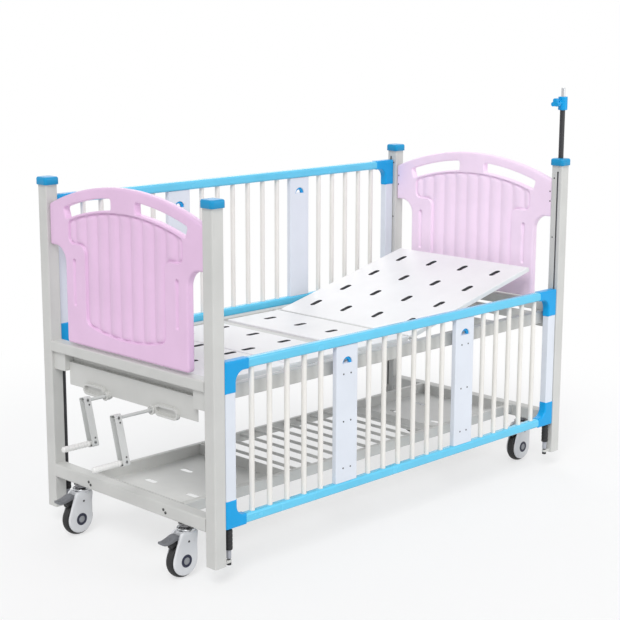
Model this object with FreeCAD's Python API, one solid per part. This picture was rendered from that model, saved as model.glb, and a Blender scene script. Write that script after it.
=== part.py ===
import FreeCAD, Part
import math
import os

# Pediatric hospital cot: four posts, two moulded end boards, two drop rails, a three-section
# deck worked by two cranks, a storage tray, four braked casters and an infusion pole.
# Millimetres. +X runs from the foot end to the head end, +Y to the far side, +Z up, floor at z = 0.

V = FreeCAD.Vector

# ---------------------------------------------------------------- posts and caps
cot_length = 1950.0             # over the outer faces of the posts, along X
cot_width = 950.0               # over the outer faces of the posts, along Y
post_size = 50.0
post_wall = 2.0
post_corner_radius = 5.0
post_foot = 71.0                # underside of the posts above the floor
rail_top_gap = 39.0             # top of a raised rail below the top of the posts
cap_height = 30.0
cap_overhang = 6.5
cap_corner_radius = 10.0
cap_edge_radius = 6.0
cap_plug_depth = 22.0
cap_plug_clearance = 0.2

# ---------------------------------------------------------------- end beams
beam_depth = 50.0               # along X, as deep as the posts
lower_beam_height = 50.0
upper_beam_height = 40.0
upper_beam_rise = 30.0          # top of the upper beams above the deck
beam_wall = 2.0
beam_corner_radius = 6.0

# ---------------------------------------------------------------- moulded end boards
board_thickness = 30.0
board_inset = 12.0              # outer face of the board behind the outer face of the posts
board_gap = 8.0                 # above the upper beam
board_rise = 23.0               # crown of the boards above the posts
board_arc_radius = 1067.0       # crown of the top edge
board_shoulder_drop = 237.0     # underside of the shoulders below the crown
board_shoulder_reach = 89.0     # from the body of the board to the posts
board_shoulder_radius = 60.0
board_edge_radius = 7.0
board_foot_radius = 12.0
slot_inner = 67.0               # inner ends of the hand slots from the middle
slot_margin = 85.0              # outer ends of the hand slots from the posts
slot_depth_from_edge = 38.0
slot_height = 42.0
slot_corner_radius = 9.0
panel_offset = 86.0             # recessed panel below the top edge
panel_margin = 110.0            # fluted panel from the posts
panel_corner_radius = 25.0
panel_shoulder_drop = 197.0     # below the crown of the board
panel_waist_margin = 203.0      # from the posts
panel_waist_drop = 251.0
panel_foot_rise = 81.0          # above the foot of the board
panel_foot_sag = 29.0
panel_foot_radius = 34.0
panel_depth = 9.0
flute_pitch = 62.0
flute_gap = 5.0
flute_rise = 6.0
groove_width = 22.0
groove_margin = 142.0           # from the posts
groove_foot_rise = 136.0
groove_top_drop = 274.0
groove_depth = 5.0

# ---------------------------------------------------------------- drop rails
rail_height = 578.0
rail_low_z = 197.0              # underside of a lowered rail
rail_overlap = 107.0            # of a raised rail with a lowered one
rail_depth = 34.0               # corner blocks, along Y
rail_setback = 2.0              # behind the outer face of the posts
rail_end_gap = 1.5              # between a corner block and its post
corner_wall = 1.5
corner_leg = 50.0
corner_top_leg = 110.0
corner_top_arm = 110.0
corner_foot_leg = 100.0
corner_foot_arm = 95.0
corner_fillet = 38.0
corner_edge_radius = 4.0
corner_rim_radius = 2.4
rail_tube_height = 35.0
rail_tube_radius = 9.0
rail_tube_wall = 2.0
upright_wall = 2.0
upright_radius = 4.0
bush_height = 20.0
bar_diameter = 19.0
bar_wall = 1.5
bar_spaces = 10.5               # bar pitches from the middle of the rail to the uprights
plate_width = 110.0
plate_thickness = 22.0
plate_at_pitch = 4.0            # plates stand this many bar pitches from the middle
bar_places = (0.5, 1.5, 2.5, 5.5, 6.5, 7.5, 8.5, 9.5)
slider_width = 7.0
slider_height = 40.0
slider_drop = 70.0              # middle of the slider below the top of the rail
slider_clearance = 0.6
slider_reach = 6.0              # into the post

# release triggers in the plates
trigger_drop = 66.0             # flat foot of the finger opening below the top tube
finger_radius = 25.0
trigger_inner_radius = 17.0
trigger_outer_radius = 31.0
trigger_thickness = 11.0
trigger_travel = 8.0
trigger_clearance = 0.4

# guide rods of the rails
guide_rod_diameter = 12.0
guide_rod_drop = 4.0            # below the posts' feet
guide_rod_top_gap = 15.0        # below the top of a lowered rail
guide_rod_clearance = 0.1
buffer_diameter = 27.0
buffer_length = 71.0
buffer_gap = 5.0                # below a lowered rail
bracket_thickness = 5.0
bracket_width = 26.0
bracket_height = 18.0

# ---------------------------------------------------------------- deck
deck_top = 683.0
deck_side_gap = 39.0            # from the panels to the side tubes
sheet = 1.5
flange_depth = 18.0
seat_head_x = 123.0
backrest_axis_x = 129.0
thigh_axis_x = -223.0
knee_axis_x = -515.0
panel_edge_gap = 3.0            # from a hinge axis to its own panel's edge
backrest_head_gap = 21.0        # from the flat backrest to the head posts
leg_end_gap = 10.0              # foot edge of the leg panel to the end beam
hinge_below_top = 6.0
knee_below_top = 15.0
hinge_pin_diameter = 8.0
hinge_clearance = 0.1
ear_thickness = 3.0
ear_radius = 6.0
ear_length = 40.0
rest_clearance = 0.5            # panels above the cross tubes
slot_length = 62.0
slot_width = 24.0
slot_collar = 5.0               # depth of the pressed collar round each slot
slot_rim_radius = 1.4
slot_columns = 4
slot_column_pitch = 172.0
slot_first_backrest = 120.0     # first row of each panel from its hinge
slot_first_thigh = 55.0
slot_first_leg = 40.0
slot_last_gap = 45.0            # last row to the end of the panel, at least
slot_row_pitch = 183.0
backrest_rest_angle = 13.0
backrest_flat_angle = 0.0
backrest_top_angle = 75.0
thigh_top_angle = 35.0

# deck frame
side_tube_width = 30.0
side_tube_height = 50.0
side_tube_drop = 4.0            # below the deck
frame_wall = 2.0
frame_corner_radius = 4.0
cross_tube = 30.0
hinge_bar_width = 44.0
hinge_bar_height = 36.0
hinge_bar_gap = 10.0            # from the thigh axis to the hinge bar
seat_foot_gap = 5.0             # from the hinge bar to the seat panel
hanger_width = 68.0
hanger_drop = 22.0              # below the side tubes
hanger_depth = 38.0
cross_tube_x = (640.0, -20.0, -130.0, -470.0, -760.0)

# ---------------------------------------------------------------- crank drives
crank_offset = 129.0
crank_drop = 128.0              # shafts below the deck
shaft_diameter = 12.0
shaft_clearance = 0.1
crank_plate_set = 15.0          # from the inner faces of the posts to the plate
crank_plate_sheet = 3.0
crank_plate_drop = 39.0         # below the top of the side tubes
boss_diameter = 30.0
boss_length = 14.0
pocket_inner = 150.0
pocket_length = 106.0
pocket_height = 26.0
pocket_rim = 8.0
pocket_depth = 12.0
arm_reach_backrest = 70.0       # middle of each arm beyond the posts
arm_reach_knee = 135.0
arm_pitch = 150.0               # shaft to fold pin
arm_width = 30.0
arm_depth = 28.0
arm_sheet = 2.5
arm_end = 14.0                  # beyond each pin
arm_corner_radius = 7.0
arm_tilt = 15.0
fold_pin_diameter = 7.0
fold_clearance = 0.1
grip_diameter = 22.0
grip_length = 131.0
grip_root_radius = 9.0
grip_neck_radius = 7.5
grip_root_gap = 15.0            # from the fold pin to the full round of the grip
screw_diameter = 14.0
screw_clearance = 0.1
nut_length = 40.0
nut_size = 30.0
push_tube_diameter = 26.0
push_tube_bore = 20.0
screw_lead = 6.0
spare_turns = 2                 # of screw past the nut at the end of its travel
collar_width = 6.0
thrust_collar_diameter = 26.0
thrust_clearance = 0.5
nut_x_backrest = -470.0
nut_x_knee = -640.0
cross_pin_diameter = 10.0
cross_pin_length = 54.0
lever_gap = 18.0                # half the gap between the two cheeks of a lever
lever_sheet = 5.0
lever_width = 44.0
lever_slot_width = 22.0
lever_root = 95.0               # far end of the lever's root along the panel, from the axis
lever_slot_margin = 1.0
lever_rim = 8.0
lever_gain = 1.1                # pin travel per unit angle, over the axis height above the screw

# ---------------------------------------------------------------- storage tray
tray_rail_width = 20.0
tray_rail_height = 40.0
tray_margin = 163.0             # from the tray to the posts
pan_depth = 44.0
pan_sheet = 2.0
pan_length = 504.0
pan_hole_length = 62.0
pan_hole_width = 24.0
pan_hole_y = 117.0
pan_hole_from_end = (159.0, 331.0)
rod_diameter = 12.0
rod_count = 10
rod_pan_gap = 63.0
rod_drop = 10.0                 # middle of the rods below the top of the tray

# ---------------------------------------------------------------- casters
caster_margin = 128.0           # from the swivel axis to the posts
wheel_radius = 62.5
tyre_width = 30.0
tyre_thickness = 17.0
tyre_edge_radius = 9.0
hub_width = 26.0
hub_pocket_depth = 6.0
hub_rim = 6.0
hub_core_radius = 15.0
axle_diameter = 12.0
axle_clearance = 0.1
axle_cap_diameter = 28.0
axle_cap_height = 2.5
caster_trail = 22.0
shield_inset = 9.5              # edge of the shields inside the tread
shield_thickness = 8.0
shield_edge_radius = 6.0
wheel_side_gap = 1.8            # tyre to shield
wheel_well_gap = 3.5            # tyre to the bridge above it
fork_rise = 41.0                # above the top of the wheel
fork_front = 30.0               # head of the fork, ahead of the swivel axis and behind it
fork_back = 40.0
swivel_head_diameter = 68.0
swivel_head_rise = 49.0
swivel_head_height = 24.0
swivel_gap = 0.5
race_height = 16.5
race_diameter = 56.0
stem_diameter = 20.0
stem_clearance = 0.1
pedal_pivot_out = 40.0          # from the swivel axis, along the trail
pedal_pivot_rise = 18.0
pedal_reach = 94.0              # from the wheel axle
pedal_width = 32.0
pedal_thickness = 8.0
pedal_hub_radius = 8.0
pedal_tip_drop = 3.0
pedal_lip = 5.0
pedal_pin_diameter = 6.0
pedal_pin_clearance = 0.1
pedal_travel = 12.0             # degrees
pedal_side_gap = 0.6
pedal_back_gap = 2.0
pad_from_angle = 24.0           # brake pad on the tread, from the top of the wheel
pad_to_angle = 44.0
pad_slope = 4.0
pedal_edge_radius = 1.5
brake_gap = 0.6                 # pressed pad to the tread

# ---------------------------------------------------------------- infusion pole
pole_tube_diameter = 21.0
pole_tube_rise = 245.0
pole_tube_depth = 300.0         # inside the post
pole_rod_diameter = 16.0
pole_clearance = 0.1
pole_rod_rise = 70.0
pole_rod_engaged = 40.0         # left in the tube when the rod is pulled out
pole_travel = 450.0
collar_diameter = 38.0
collar_height = 54.0
collar_socket = 20.0            # over the end of the tube
collar_edge_radius = 3.0
knob_above_foot = 30.0
knob_boss_diameter = 20.0
knob_boss_reach = 32.0
knob_screw_diameter = 8.0
knob_screw_clearance = 0.1
knob_reach = 57.0
knob_thickness = 18.0
knob_gap = 4.0                  # from the boss to the knob's hub
knob_lobe_radius = 9.0
knob_lobe_circle = 10.0
knob_lobes = 3

# ---------------------------------------------------------------- derived places
post_x = cot_length / 2 - post_size / 2
post_y = cot_width / 2 - post_size / 2
inner_x = cot_length / 2 - post_size
inner_y = cot_width / 2 - post_size
rail_travel = rail_height - rail_overlap
post_top = rail_low_z + rail_travel + rail_height + rail_top_gap
post_length = post_top - post_foot
swivel_head_top = 2 * wheel_radius + swivel_head_rise
swivel_head_foot = swivel_head_top - swivel_head_height
fork_top = 2 * wheel_radius + fork_rise
pedal_pivot_z = 2 * wheel_radius + pedal_pivot_rise
shield_radius = wheel_radius - shield_inset
caster_y = inner_y - caster_margin
race_foot = swivel_head_top + swivel_gap
lower_beam_foot = race_foot + race_height
lower_beam_top = lower_beam_foot + lower_beam_height
upper_beam_top = deck_top + upper_beam_rise
board_foot = upper_beam_top + board_gap
board_top = post_top + board_rise
board_height = board_top - board_foot
board_arc_z = board_top - board_arc_radius
board_x = cot_length / 2 - board_inset - board_thickness / 2
board_body_half_width = inner_y - board_shoulder_reach
slot_outer = inner_y - slot_margin
panel_half_width = inner_y - panel_margin
panel_shoulder_z = board_top - panel_shoulder_drop
panel_waist_half_width = inner_y - panel_waist_margin
panel_waist_z = board_top - panel_waist_drop
panel_foot_z = board_foot + panel_foot_rise
groove_offset = inner_y - groove_margin
groove_low_z = board_foot + groove_foot_rise
groove_high_z = board_top - groove_top_drop
pad_middle_angle = (pad_from_angle + pad_to_angle) / 2
rail_outer = inner_x - rail_end_gap
rail_y = cot_width / 2 - rail_setback - rail_depth / 2
upright_width = corner_leg - 2 * corner_wall
tube_depth = rail_depth - 2 * corner_wall
upright_x = rail_outer - corner_leg / 2
bar_pitch = (rail_outer - corner_leg) / bar_spaces
rod_x = upright_x
guide_rod_foot = post_foot - guide_rod_drop
guide_rod_top = rail_low_z + rail_height - guide_rod_top_gap
buffer_foot = rail_low_z - buffer_gap - buffer_length
side_tube_y = inner_y - side_tube_width / 2
side_tube_top = deck_top - side_tube_drop
side_tube_foot = side_tube_top - side_tube_height
deck_half_width = inner_y - side_tube_width - deck_side_gap
backrest_length = inner_x - backrest_head_gap - backrest_axis_x
hinge_z = deck_top - hinge_below_top
knee_z = deck_top - knee_below_top
crank_z = deck_top - crank_drop
lever_drop = hinge_z - crank_z
backrest_mid_angle = (backrest_flat_angle + backrest_top_angle) / 2
thigh_mid_angle = thigh_top_angle / 2
crank_plate_x = inner_x + crank_plate_set
crank_plate_half_width = inner_y - hanger_width
crank_plate_top = side_tube_top - crank_plate_drop
flange_foot = deck_top - flange_depth
support_top = flange_foot - rest_clearance
tray_half_width = inner_y - tray_margin
pan_floor = lower_beam_top - pan_depth
pan_inner_x = inner_x - pan_length
rod_end_x = pan_inner_x - rod_pan_gap
rod_z = lower_beam_top - rod_drop
arm_x_backrest = cot_length / 2 + arm_reach_backrest
arm_x_knee = cot_length / 2 + arm_reach_knee
pole_tube_top = post_top + pole_tube_rise
pole_rod_top = pole_tube_top + pole_rod_rise
pole_rod_length = pole_rod_rise + pole_travel + pole_rod_engaged
head_reach = max(cot_length / 2 + cap_overhang, post_x - caster_trail + wheel_radius)
origin_shift = (arm_x_knee + grip_length - head_reach) / 2

os.makedirs("parts", exist_ok=True)


def save(node, shape):
    # The origin lies on the floor, under the middle of the whole cot.
    placed = shape.copy()
    placed.translate(V(origin_shift, 0, 0))
    placed.exportStep("parts/" + node + ".step")


def box(x0, x1, y0, y1, z0, z1):
    return Part.makeBox(x1 - x0, y1 - y0, z1 - z0, V(x0, y0, z0))


def cylinder(base, direction, radius, length):
    return Part.makeCylinder(radius, length, base, direction)


def fuse(shapes):
    return shapes[0].multiFuse(shapes[1:]).removeSplitter()


def group(shapes):
    return Part.makeCompound(shapes)


def flip_x(shape):
    return shape.mirror(V(0, 0, 0), V(1, 0, 0))


def flip_y(shape):
    return shape.mirror(V(0, 0, 0), V(0, 1, 0))


def rounded_rectangle(width, height, radius):
    # A face in the XY plane with arcs at its corners.
    x = width / 2
    y = height / 2
    r = min(radius, 0.49 * width, 0.49 * height)
    k = r * (1 - math.sqrt(0.5))
    corners = ((x, y), (-x, y), (-x, -y), (x, -y))
    edges = []
    for i in range(4):
        a, b = corners[i]
        sa = math.copysign(1, a)
        sb = math.copysign(1, b)
        on_side = V(a, b - sb * r, 0)
        on_top = V(a - sa * r, b, 0)
        middle = V(a - sa * k, b - sb * k, 0)
        first, last = (on_side, on_top) if i % 2 == 0 else (on_top, on_side)
        edges.append((first, middle, last))
    outline = []
    for i in range(4):
        first, middle, last = edges[i]
        outline.append(Part.Arc(first, middle, last).toShape())
        outline.append(Part.LineSegment(last, edges[(i + 1) % 4][0]).toShape())
    return Part.Face(Part.Wire(outline))


def obround(length, width):
    return rounded_rectangle(length, width, width)


def prism(face, direction, base):
    # The XY face, stood so that its normal points along the direction, and pushed out along it.
    solid = face.extrude(V(0, 0, direction.Length))
    if abs(direction.x) > 0:
        # local X becomes Y, local Y becomes Z
        solid.rotate(V(0, 0, 0), V(1, 1, 1), 120)
    elif abs(direction.y) > 0:
        # local X stays, local Y becomes -Z
        solid.rotate(V(0, 0, 0), V(1, 0, 0), -90)
    solid.translate(base)
    return solid


def tube(width, height, wall, radius, direction, base):
    # Rectangular tube with rounded corners, its middle line from the base along the direction.
    outer = prism(rounded_rectangle(width, height, radius), direction, base)
    bore = rounded_rectangle(width - 2 * wall, height - 2 * wall, max(radius - wall, 0.5))
    return outer.cut(prism(bore, direction, base))


def edges_along(solid, axis, keep):
    # Straight edges parallel to the axis whose middle point is wanted.
    found = []
    for edge in solid.Edges:
        if len(edge.Vertexes) != 2 or not isinstance(edge.Curve, (Part.Line, Part.LineSegment)):
            continue
        run = edge.Vertexes[1].Point.sub(edge.Vertexes[0].Point)
        if run.cross(axis).Length < 1e-6 * run.Length and keep(edge.CenterOfMass):
            found.append(edge)
    return found


# ---------------------------------------------------------------- posts, caps and beams
def post():
    # Middle line at the origin; the groove for the rail's slider faces -X and stands off the middle.
    solid = tube(post_size, post_size, post_wall, post_corner_radius,
                 V(0, 0, post_length), V(0, 0, post_foot))
    groove_y = -(rail_y - post_y)
    half = slider_width / 2 + slider_clearance
    groove = box(-post_size, -post_size / 2 + 2 * post_wall, groove_y - half, groove_y + half,
                 rail_low_z, post_top - cap_plug_depth - post_wall)
    return solid.cut(groove)


def cap(pole):
    lid = prism(rounded_rectangle(post_size + 2 * cap_overhang, post_size + 2 * cap_overhang,
                                  cap_corner_radius), V(0, 0, cap_height), V(0, 0, post_top))
    top_edges = [e for e in lid.Edges if e.CenterOfMass.z > post_top + cap_height - 1e-3]
    lid = lid.makeFillet(cap_edge_radius, top_edges)
    plug_size = post_size - 2 * post_wall - 2 * cap_plug_clearance
    plug = prism(rounded_rectangle(plug_size, plug_size, post_corner_radius - post_wall),
                 V(0, 0, cap_plug_depth), V(0, 0, post_top - cap_plug_depth))
    lid = lid.fuse(plug).removeSplitter()
    if pole:
        lid = lid.cut(cylinder(V(0, 0, post_foot), V(0, 0, 1), pole_tube_diameter / 2, cot_length))
    return lid


caps = []
for end, end_name in ((-1, "foot"), (1, "head")):
    for side, side_name in ((-1, "near"), (1, "far")):
        has_pole = end > 0 and side < 0
        one_post = post()
        one_cap = cap(has_pole)
        if end < 0:
            one_post = flip_x(one_post)
        if side > 0:
            one_post = flip_y(one_post)
        one_post.translate(V(end * post_x, side * post_y, 0))
        one_cap.translate(V(end * post_x, side * post_y, 0))
        save("post_" + end_name + "_" + side_name, one_post)
        caps.append(one_cap)
save("post_caps", group(caps))

beams = []
for end in (-1, 1):
    for height, top in ((lower_beam_height, lower_beam_top), (upper_beam_height, upper_beam_top)):
        beams.append(tube(beam_depth, height, beam_wall, beam_corner_radius, V(0, 2 * inner_y, 0),
                          V(end * post_x, -inner_y, top - height / 2)))
save("end_beams", group(beams))


# ---------------------------------------------------------------- end boards
def crown(y, offset):
    # Height of the board's crowned top edge, or of a curve offset below it.
    radius = board_arc_radius - offset
    return board_arc_z + math.sqrt(radius * radius - y * y)


def face_yz(edges):
    return Part.Face(Part.Wire([e.toShape() for e in edges]))


def line(a, b):
    return Part.LineSegment(V(0, a[0], a[1]), V(0, b[0], b[1]))


def arc(a, middle, b):
    return Part.Arc(V(0, a[0], a[1]), V(0, middle[0], middle[1]), V(0, b[0], b[1]))


def quarter(start, centre, end):
    # Quarter circle between two points about a centre.
    k = math.sqrt(0.5)
    middle = (centre[0] + k * (start[0] + end[0] - 2 * centre[0]),
              centre[1] + k * (start[1] + end[1] - 2 * centre[1]))
    return arc(start, middle, end)


def board_outline():
    w = inner_y
    body = board_body_half_width
    shoulder_z = board_top - board_shoulder_drop
    r = board_shoulder_radius
    f = board_foot_radius
    edges = [arc((w, crown(w, 0)), (0, board_top), (-w, crown(w, 0)))]
    for s in (-1, 1):
        part = [line((s * w, crown(w, 0)), (s * w, shoulder_z)),
                line((s * w, shoulder_z), (s * (body + r), shoulder_z)),
                quarter((s * (body + r), shoulder_z), (s * (body + r), shoulder_z - r),
                        (s * body, shoulder_z - r)),
                line((s * body, shoulder_z - r), (s * body, board_foot + f)),
                quarter((s * body, board_foot + f), (s * (body - f), board_foot + f),
                        (s * (body - f), board_foot))]
        edges.extend(part if s < 0 else part[::-1])
        if s < 0:
            edges.append(line((-(body - f), board_foot), (body - f, board_foot)))
    return face_yz(edges)


def recess_outline():
    # Fluted panel: crowned top, S-curved shoulders, narrow waist and a sagging foot.
    w = panel_half_width
    waist = panel_waist_half_width
    top = panel_offset
    k = (panel_shoulder_z - panel_waist_z) / 2
    foot_apex = panel_foot_z - panel_foot_sag
    edges = [arc((w, crown(w, top)), (0, crown(0, top)), (-w, crown(w, top)))]
    for s in (-1, 1):
        part = [line((s * w, crown(w, top)), (s * w, panel_shoulder_z)),
                quarter((s * w, panel_shoulder_z), (s * (w - k), panel_shoulder_z),
                        (s * (w - k), panel_shoulder_z - k)),
                line((s * (w - k), panel_shoulder_z - k), (s * (waist + k), panel_shoulder_z - k)),
                quarter((s * (waist + k), panel_shoulder_z - k), (s * (waist + k), panel_waist_z),
                        (s * waist, panel_waist_z)),
                line((s * waist, panel_waist_z), (s * waist, panel_foot_z))]
        edges.extend(part if s < 0 else part[::-1])
        if s < 0:
            edges.append(arc((-waist, panel_foot_z), (0, foot_apex), (waist, panel_foot_z)))
    return face_yz(edges)


def hand_slot(side):
    # Finger slot between two curves that follow the crown; inner end upright, outer end square to it.
    upper = slot_depth_from_edge
    lower = upper + slot_height
    turn = math.asin(slot_outer / (board_arc_radius - upper))
    low_y = (board_arc_radius - lower) * math.sin(turn)
    middle = (slot_inner + slot_outer) / 2
    edges = [arc((side * slot_inner, crown(slot_inner, upper)), (side * middle, crown(middle, upper)),
                 (side * slot_outer, crown(slot_outer, upper))),
             line((side * slot_outer, crown(slot_outer, upper)), (side * low_y, crown(low_y, lower))),
             arc((side * low_y, crown(low_y, lower)), (side * middle, crown(middle, lower)),
                 (side * slot_inner, crown(slot_inner, lower))),
             line((side * slot_inner, crown(slot_inner, lower)),
                  (side * slot_inner, crown(slot_inner, upper)))]
    tool = face_yz(edges).extrude(V(2 * board_thickness, 0, 0))
    tool.translate(V(-board_thickness, 0, 0))
    corners = edges_along(tool, V(1, 0, 0), lambda p: True)
    return tool.makeFillet(slot_corner_radius, corners)


def flutes():
    # Upright ribs of circular section that rise from the recess floor towards the outer face.
    chord = flute_pitch - flute_gap
    radius = (chord * chord / 4 + flute_rise * flute_rise) / (2 * flute_rise)
    count = int(round(2 * panel_half_width / flute_pitch))
    ribs = []
    for i in range(count):
        y = (i - (count - 1) / 2) * flute_pitch
        ribs.append(cylinder(V(panel_depth - flute_rise + radius, y, board_foot), V(0, 0, 1), radius,
                             board_height))
    return ribs


def end_board():
    half = board_thickness / 2
    board = board_outline().extrude(V(board_thickness, 0, 0))
    board.translate(V(-half, 0, 0))
    rim = [e for e in board.Edges if abs(abs(e.CenterOfMass.x) - half) < 1e-3]
    free = [e for e in rim if abs(abs(e.CenterOfMass.y) - inner_y) > 1e-3]
    board = board.makeFillet(board_edge_radius, free)
    recess = recess_outline().extrude(V(panel_depth, 0, 0))
    top_corners = edges_along(recess, V(1, 0, 0), lambda p: p.z > panel_shoulder_z + panel_corner_radius)
    recess = recess.makeFillet(panel_corner_radius, top_corners)
    foot_corners = edges_along(recess, V(1, 0, 0), lambda p: abs(p.z - panel_foot_z) < 1)
    recess = recess.makeFillet(panel_foot_radius, foot_corners)
    recess = recess.cut(flutes())
    recess.translate(V(-half, 0, 0))
    groove_mid = (groove_low_z + groove_high_z) / 2
    groove_shape = obround(groove_width, groove_high_z - groove_low_z)
    tools = [hand_slot(-1), hand_slot(1), recess, flip_x(recess)]
    for side in (-1, 1):
        groove = prism(groove_shape, V(groove_depth, 0, 0), V(-half, side * groove_offset, groove_mid))
        tools.append(groove)
        tools.append(flip_x(groove))
    return board.cut(tools)


board = end_board()
for end, end_name in ((-1, "foot"), (1, "head")):
    placed_board = board.copy()
    placed_board.translate(V(end * board_x, 0, 0))
    save(end_name + "_board", placed_board)


# ---------------------------------------------------------------- drop rails
# Each rail is drawn at the near side, lowered, and put in its place when it is saved.
def corner_block(leg, arm, is_top):
    # L-shaped sleeve at the head end; the upright enters the leg and the rail tube enters the arm.
    height = rail_tube_height + 2 * corner_wall
    face_points = (V(0, 0, 0), V(0, 0, -leg), V(-corner_leg, 0, -leg), V(-corner_leg, 0, -height),
                   V(-arm, 0, -height), V(-arm, 0, 0), V(0, 0, 0))
    block = Part.Face(Part.makePolygon(face_points)).extrude(V(0, rail_depth, 0))
    block.translate(V(0, -rail_depth / 2, 0))
    nook = edges_along(block, V(0, 1, 0),
                       lambda p: abs(p.x + corner_leg) < 1e-3 and abs(p.z + height) < 1e-3)
    block = block.makeFillet(min(corner_fillet, 0.9 * (leg - height), 0.9 * (arm - corner_leg)), nook)
    outer = edges_along(block, V(0, 1, 0), lambda p: abs(p.x) < 1e-3 and abs(p.z) < 1e-3)
    block = block.makeFillet(corner_edge_radius, outer)
    rims = [e for e in block.Edges if abs(abs(e.CenterOfMass.y) - rail_depth / 2) < 1e-3]
    rims = [e for e in rims if abs(e.CenterOfMass.z + leg) > 1e-3 and abs(e.CenterOfMass.x + arm) > 1e-3]
    block = block.makeFillet(corner_rim_radius, rims)
    stop = corner_leg - corner_wall
    depth = corner_wall if is_top else bush_height
    upright_pocket = prism(rounded_rectangle(upright_width, tube_depth, upright_radius), V(0, 0, leg),
                           V(-corner_leg / 2, 0, -leg - depth))
    tube_pocket = prism(rounded_rectangle(tube_depth, rail_tube_height, rail_tube_radius),
                        V(arm, 0, 0), V(-arm - stop, 0, -height / 2))
    return block.cut([upright_pocket, tube_pocket])


def rail_pieces():
    top_z = rail_low_z + rail_height
    tube_z = (rail_low_z + corner_wall + rail_tube_height / 2, top_z - corner_wall - rail_tube_height / 2)
    half_tube = rail_outer - corner_leg + corner_wall
    bar_foot = tube_z[0] + rail_tube_height / 2
    bar_top = tube_z[1] - rail_tube_height / 2
    tubes = [tube(tube_depth, rail_tube_height, rail_tube_wall, rail_tube_radius,
                  V(2 * half_tube, 0, 0), V(-half_tube, 0, z)) for z in tube_z]

    upright_foot = rail_low_z + bush_height
    upright = tube(upright_width, tube_depth, upright_wall, upright_radius,
                   V(0, 0, top_z - corner_wall - upright_foot), V(upright_x, 0, upright_foot))

    top_block = corner_block(corner_top_leg, corner_top_arm, True)
    foot_block = corner_block(corner_foot_leg, corner_foot_arm, False)
    foot_block.rotate(V(0, 0, 0), V(1, 0, 0), 180)
    foot_block.translate(V(rail_outer, 0, rail_low_z))
    bush_radius = guide_rod_diameter / 2 + guide_rod_clearance
    foot_block = foot_block.cut(cylinder(V(rod_x, 0, rail_low_z - 1), V(0, 0, 1), bush_radius,
                                         bush_height + 2))
    slider_x = cot_length / 2 - post_size + slider_reach
    slider_z = top_z - slider_drop
    top_block.translate(V(rail_outer, 0, top_z))
    slider = box(rail_outer, slider_x, -slider_width / 2, slider_width / 2,
                 slider_z - slider_height / 2, slider_z + slider_height / 2)
    top_block = top_block.fuse(slider)

    bars = []
    for place in bar_places:
        bar = cylinder(V(place * bar_pitch, 0, bar_foot), V(0, 0, 1), bar_diameter / 2, bar_top - bar_foot)
        bar = bar.cut(cylinder(V(place * bar_pitch, 0, bar_foot), V(0, 0, 1),
                               bar_diameter / 2 - bar_wall, bar_top - bar_foot))
        bars.append(bar)
        bars.append(flip_x(bar))

    plate = prism(rounded_rectangle(plate_width, plate_thickness, corner_edge_radius),
                  V(0, 0, bar_top - bar_foot), V(0, 0, bar_foot))
    finger_z = bar_top - trigger_drop
    plate = plate.cut([half_moon(finger_radius, plate_thickness, 0, finger_z),
                       half_moon(trigger_outer_radius + trigger_clearance,
                                 trigger_thickness + 2 * trigger_clearance,
                                 trigger_travel + trigger_clearance, finger_z)])
    trigger = half_moon(trigger_outer_radius, trigger_thickness, 0, finger_z)
    trigger = trigger.cut(half_moon(trigger_inner_radius, plate_thickness, 0, finger_z - 1))
    plate_x = plate_at_pitch * bar_pitch
    plates = []
    triggers = []
    for end in (-1, 1):
        for made, source in ((plates, plate), (triggers, trigger)):
            placed = source.copy()
            placed.translate(V(end * plate_x, 0, 0))
            made.append(placed)
    return {"rail_tubes": group(tubes),
            "rail_uprights": group([upright, flip_x(upright)]),
            "rail_corners": group([top_block, flip_x(top_block), foot_block, flip_x(foot_block)]),
            "rail_bars": group(bars),
            "rail_plates": group(plates),
            "foot_trigger": triggers[0],
            "head_trigger": triggers[1]}


def half_moon(radius, thickness, rise, foot_z):
    # Flat-footed half disc, made taller by the rise, across the middle of a plate.
    disc = Part.makeCylinder(radius, thickness, V(0, -thickness / 2, foot_z + rise), V(0, 1, 0))
    top = disc.common(box(-radius, radius, -thickness, thickness, foot_z + rise, foot_z + rise + radius))
    if rise == 0:
        return top
    return top.fuse(box(-radius, radius, -thickness / 2, thickness / 2, foot_z, foot_z + rise))


for side, side_name in ((-1, "near"), (1, "far")):
    for name, piece in rail_pieces().items():
        if side > 0:
            piece = flip_y(piece)
            piece.translate(V(0, 0, rail_travel))
        piece.translate(V(0, side * rail_y, 0))
        save(side_name + "_" + name, piece)

# guide rods with their brackets on the posts, and the buffers that stop a lowered rail
guide_rods = []
buffers = []
for end in (-1, 1):
    for side in (-1, 1):
        rod = cylinder(V(end * rod_x, side * rail_y, guide_rod_foot), V(0, 0, 1),
                       guide_rod_diameter / 2, guide_rod_top - guide_rod_foot)
        bracket_z = post_foot + bracket_height / 2
        bracket = box(rod_x - bracket_width / 2, inner_x, -bracket_width / 2, bracket_width / 2,
                      bracket_z - bracket_thickness / 2, bracket_z + bracket_thickness / 2)
        bracket = bracket.fuse(box(inner_x - bracket_thickness, inner_x, -bracket_width / 2,
                                   bracket_width / 2, post_foot, post_foot + bracket_height))
        if end < 0:
            bracket = flip_x(bracket)
        bracket.translate(V(0, side * post_y, 0))
        guide_rods.append(bracket.fuse(rod).removeSplitter())
        sleeve = cylinder(V(end * rod_x, side * rail_y, buffer_foot), V(0, 0, 1), buffer_diameter / 2,
                          rail_low_z - buffer_gap - buffer_foot)
        sleeve = sleeve.cut(cylinder(V(end * rod_x, side * rail_y, buffer_foot), V(0, 0, 1),
                                     guide_rod_diameter / 2, rail_low_z - buffer_foot))
        buffers.append(sleeve)
save("guide_rods", group(guide_rods))
save("rail_buffers", group(buffers))


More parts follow.
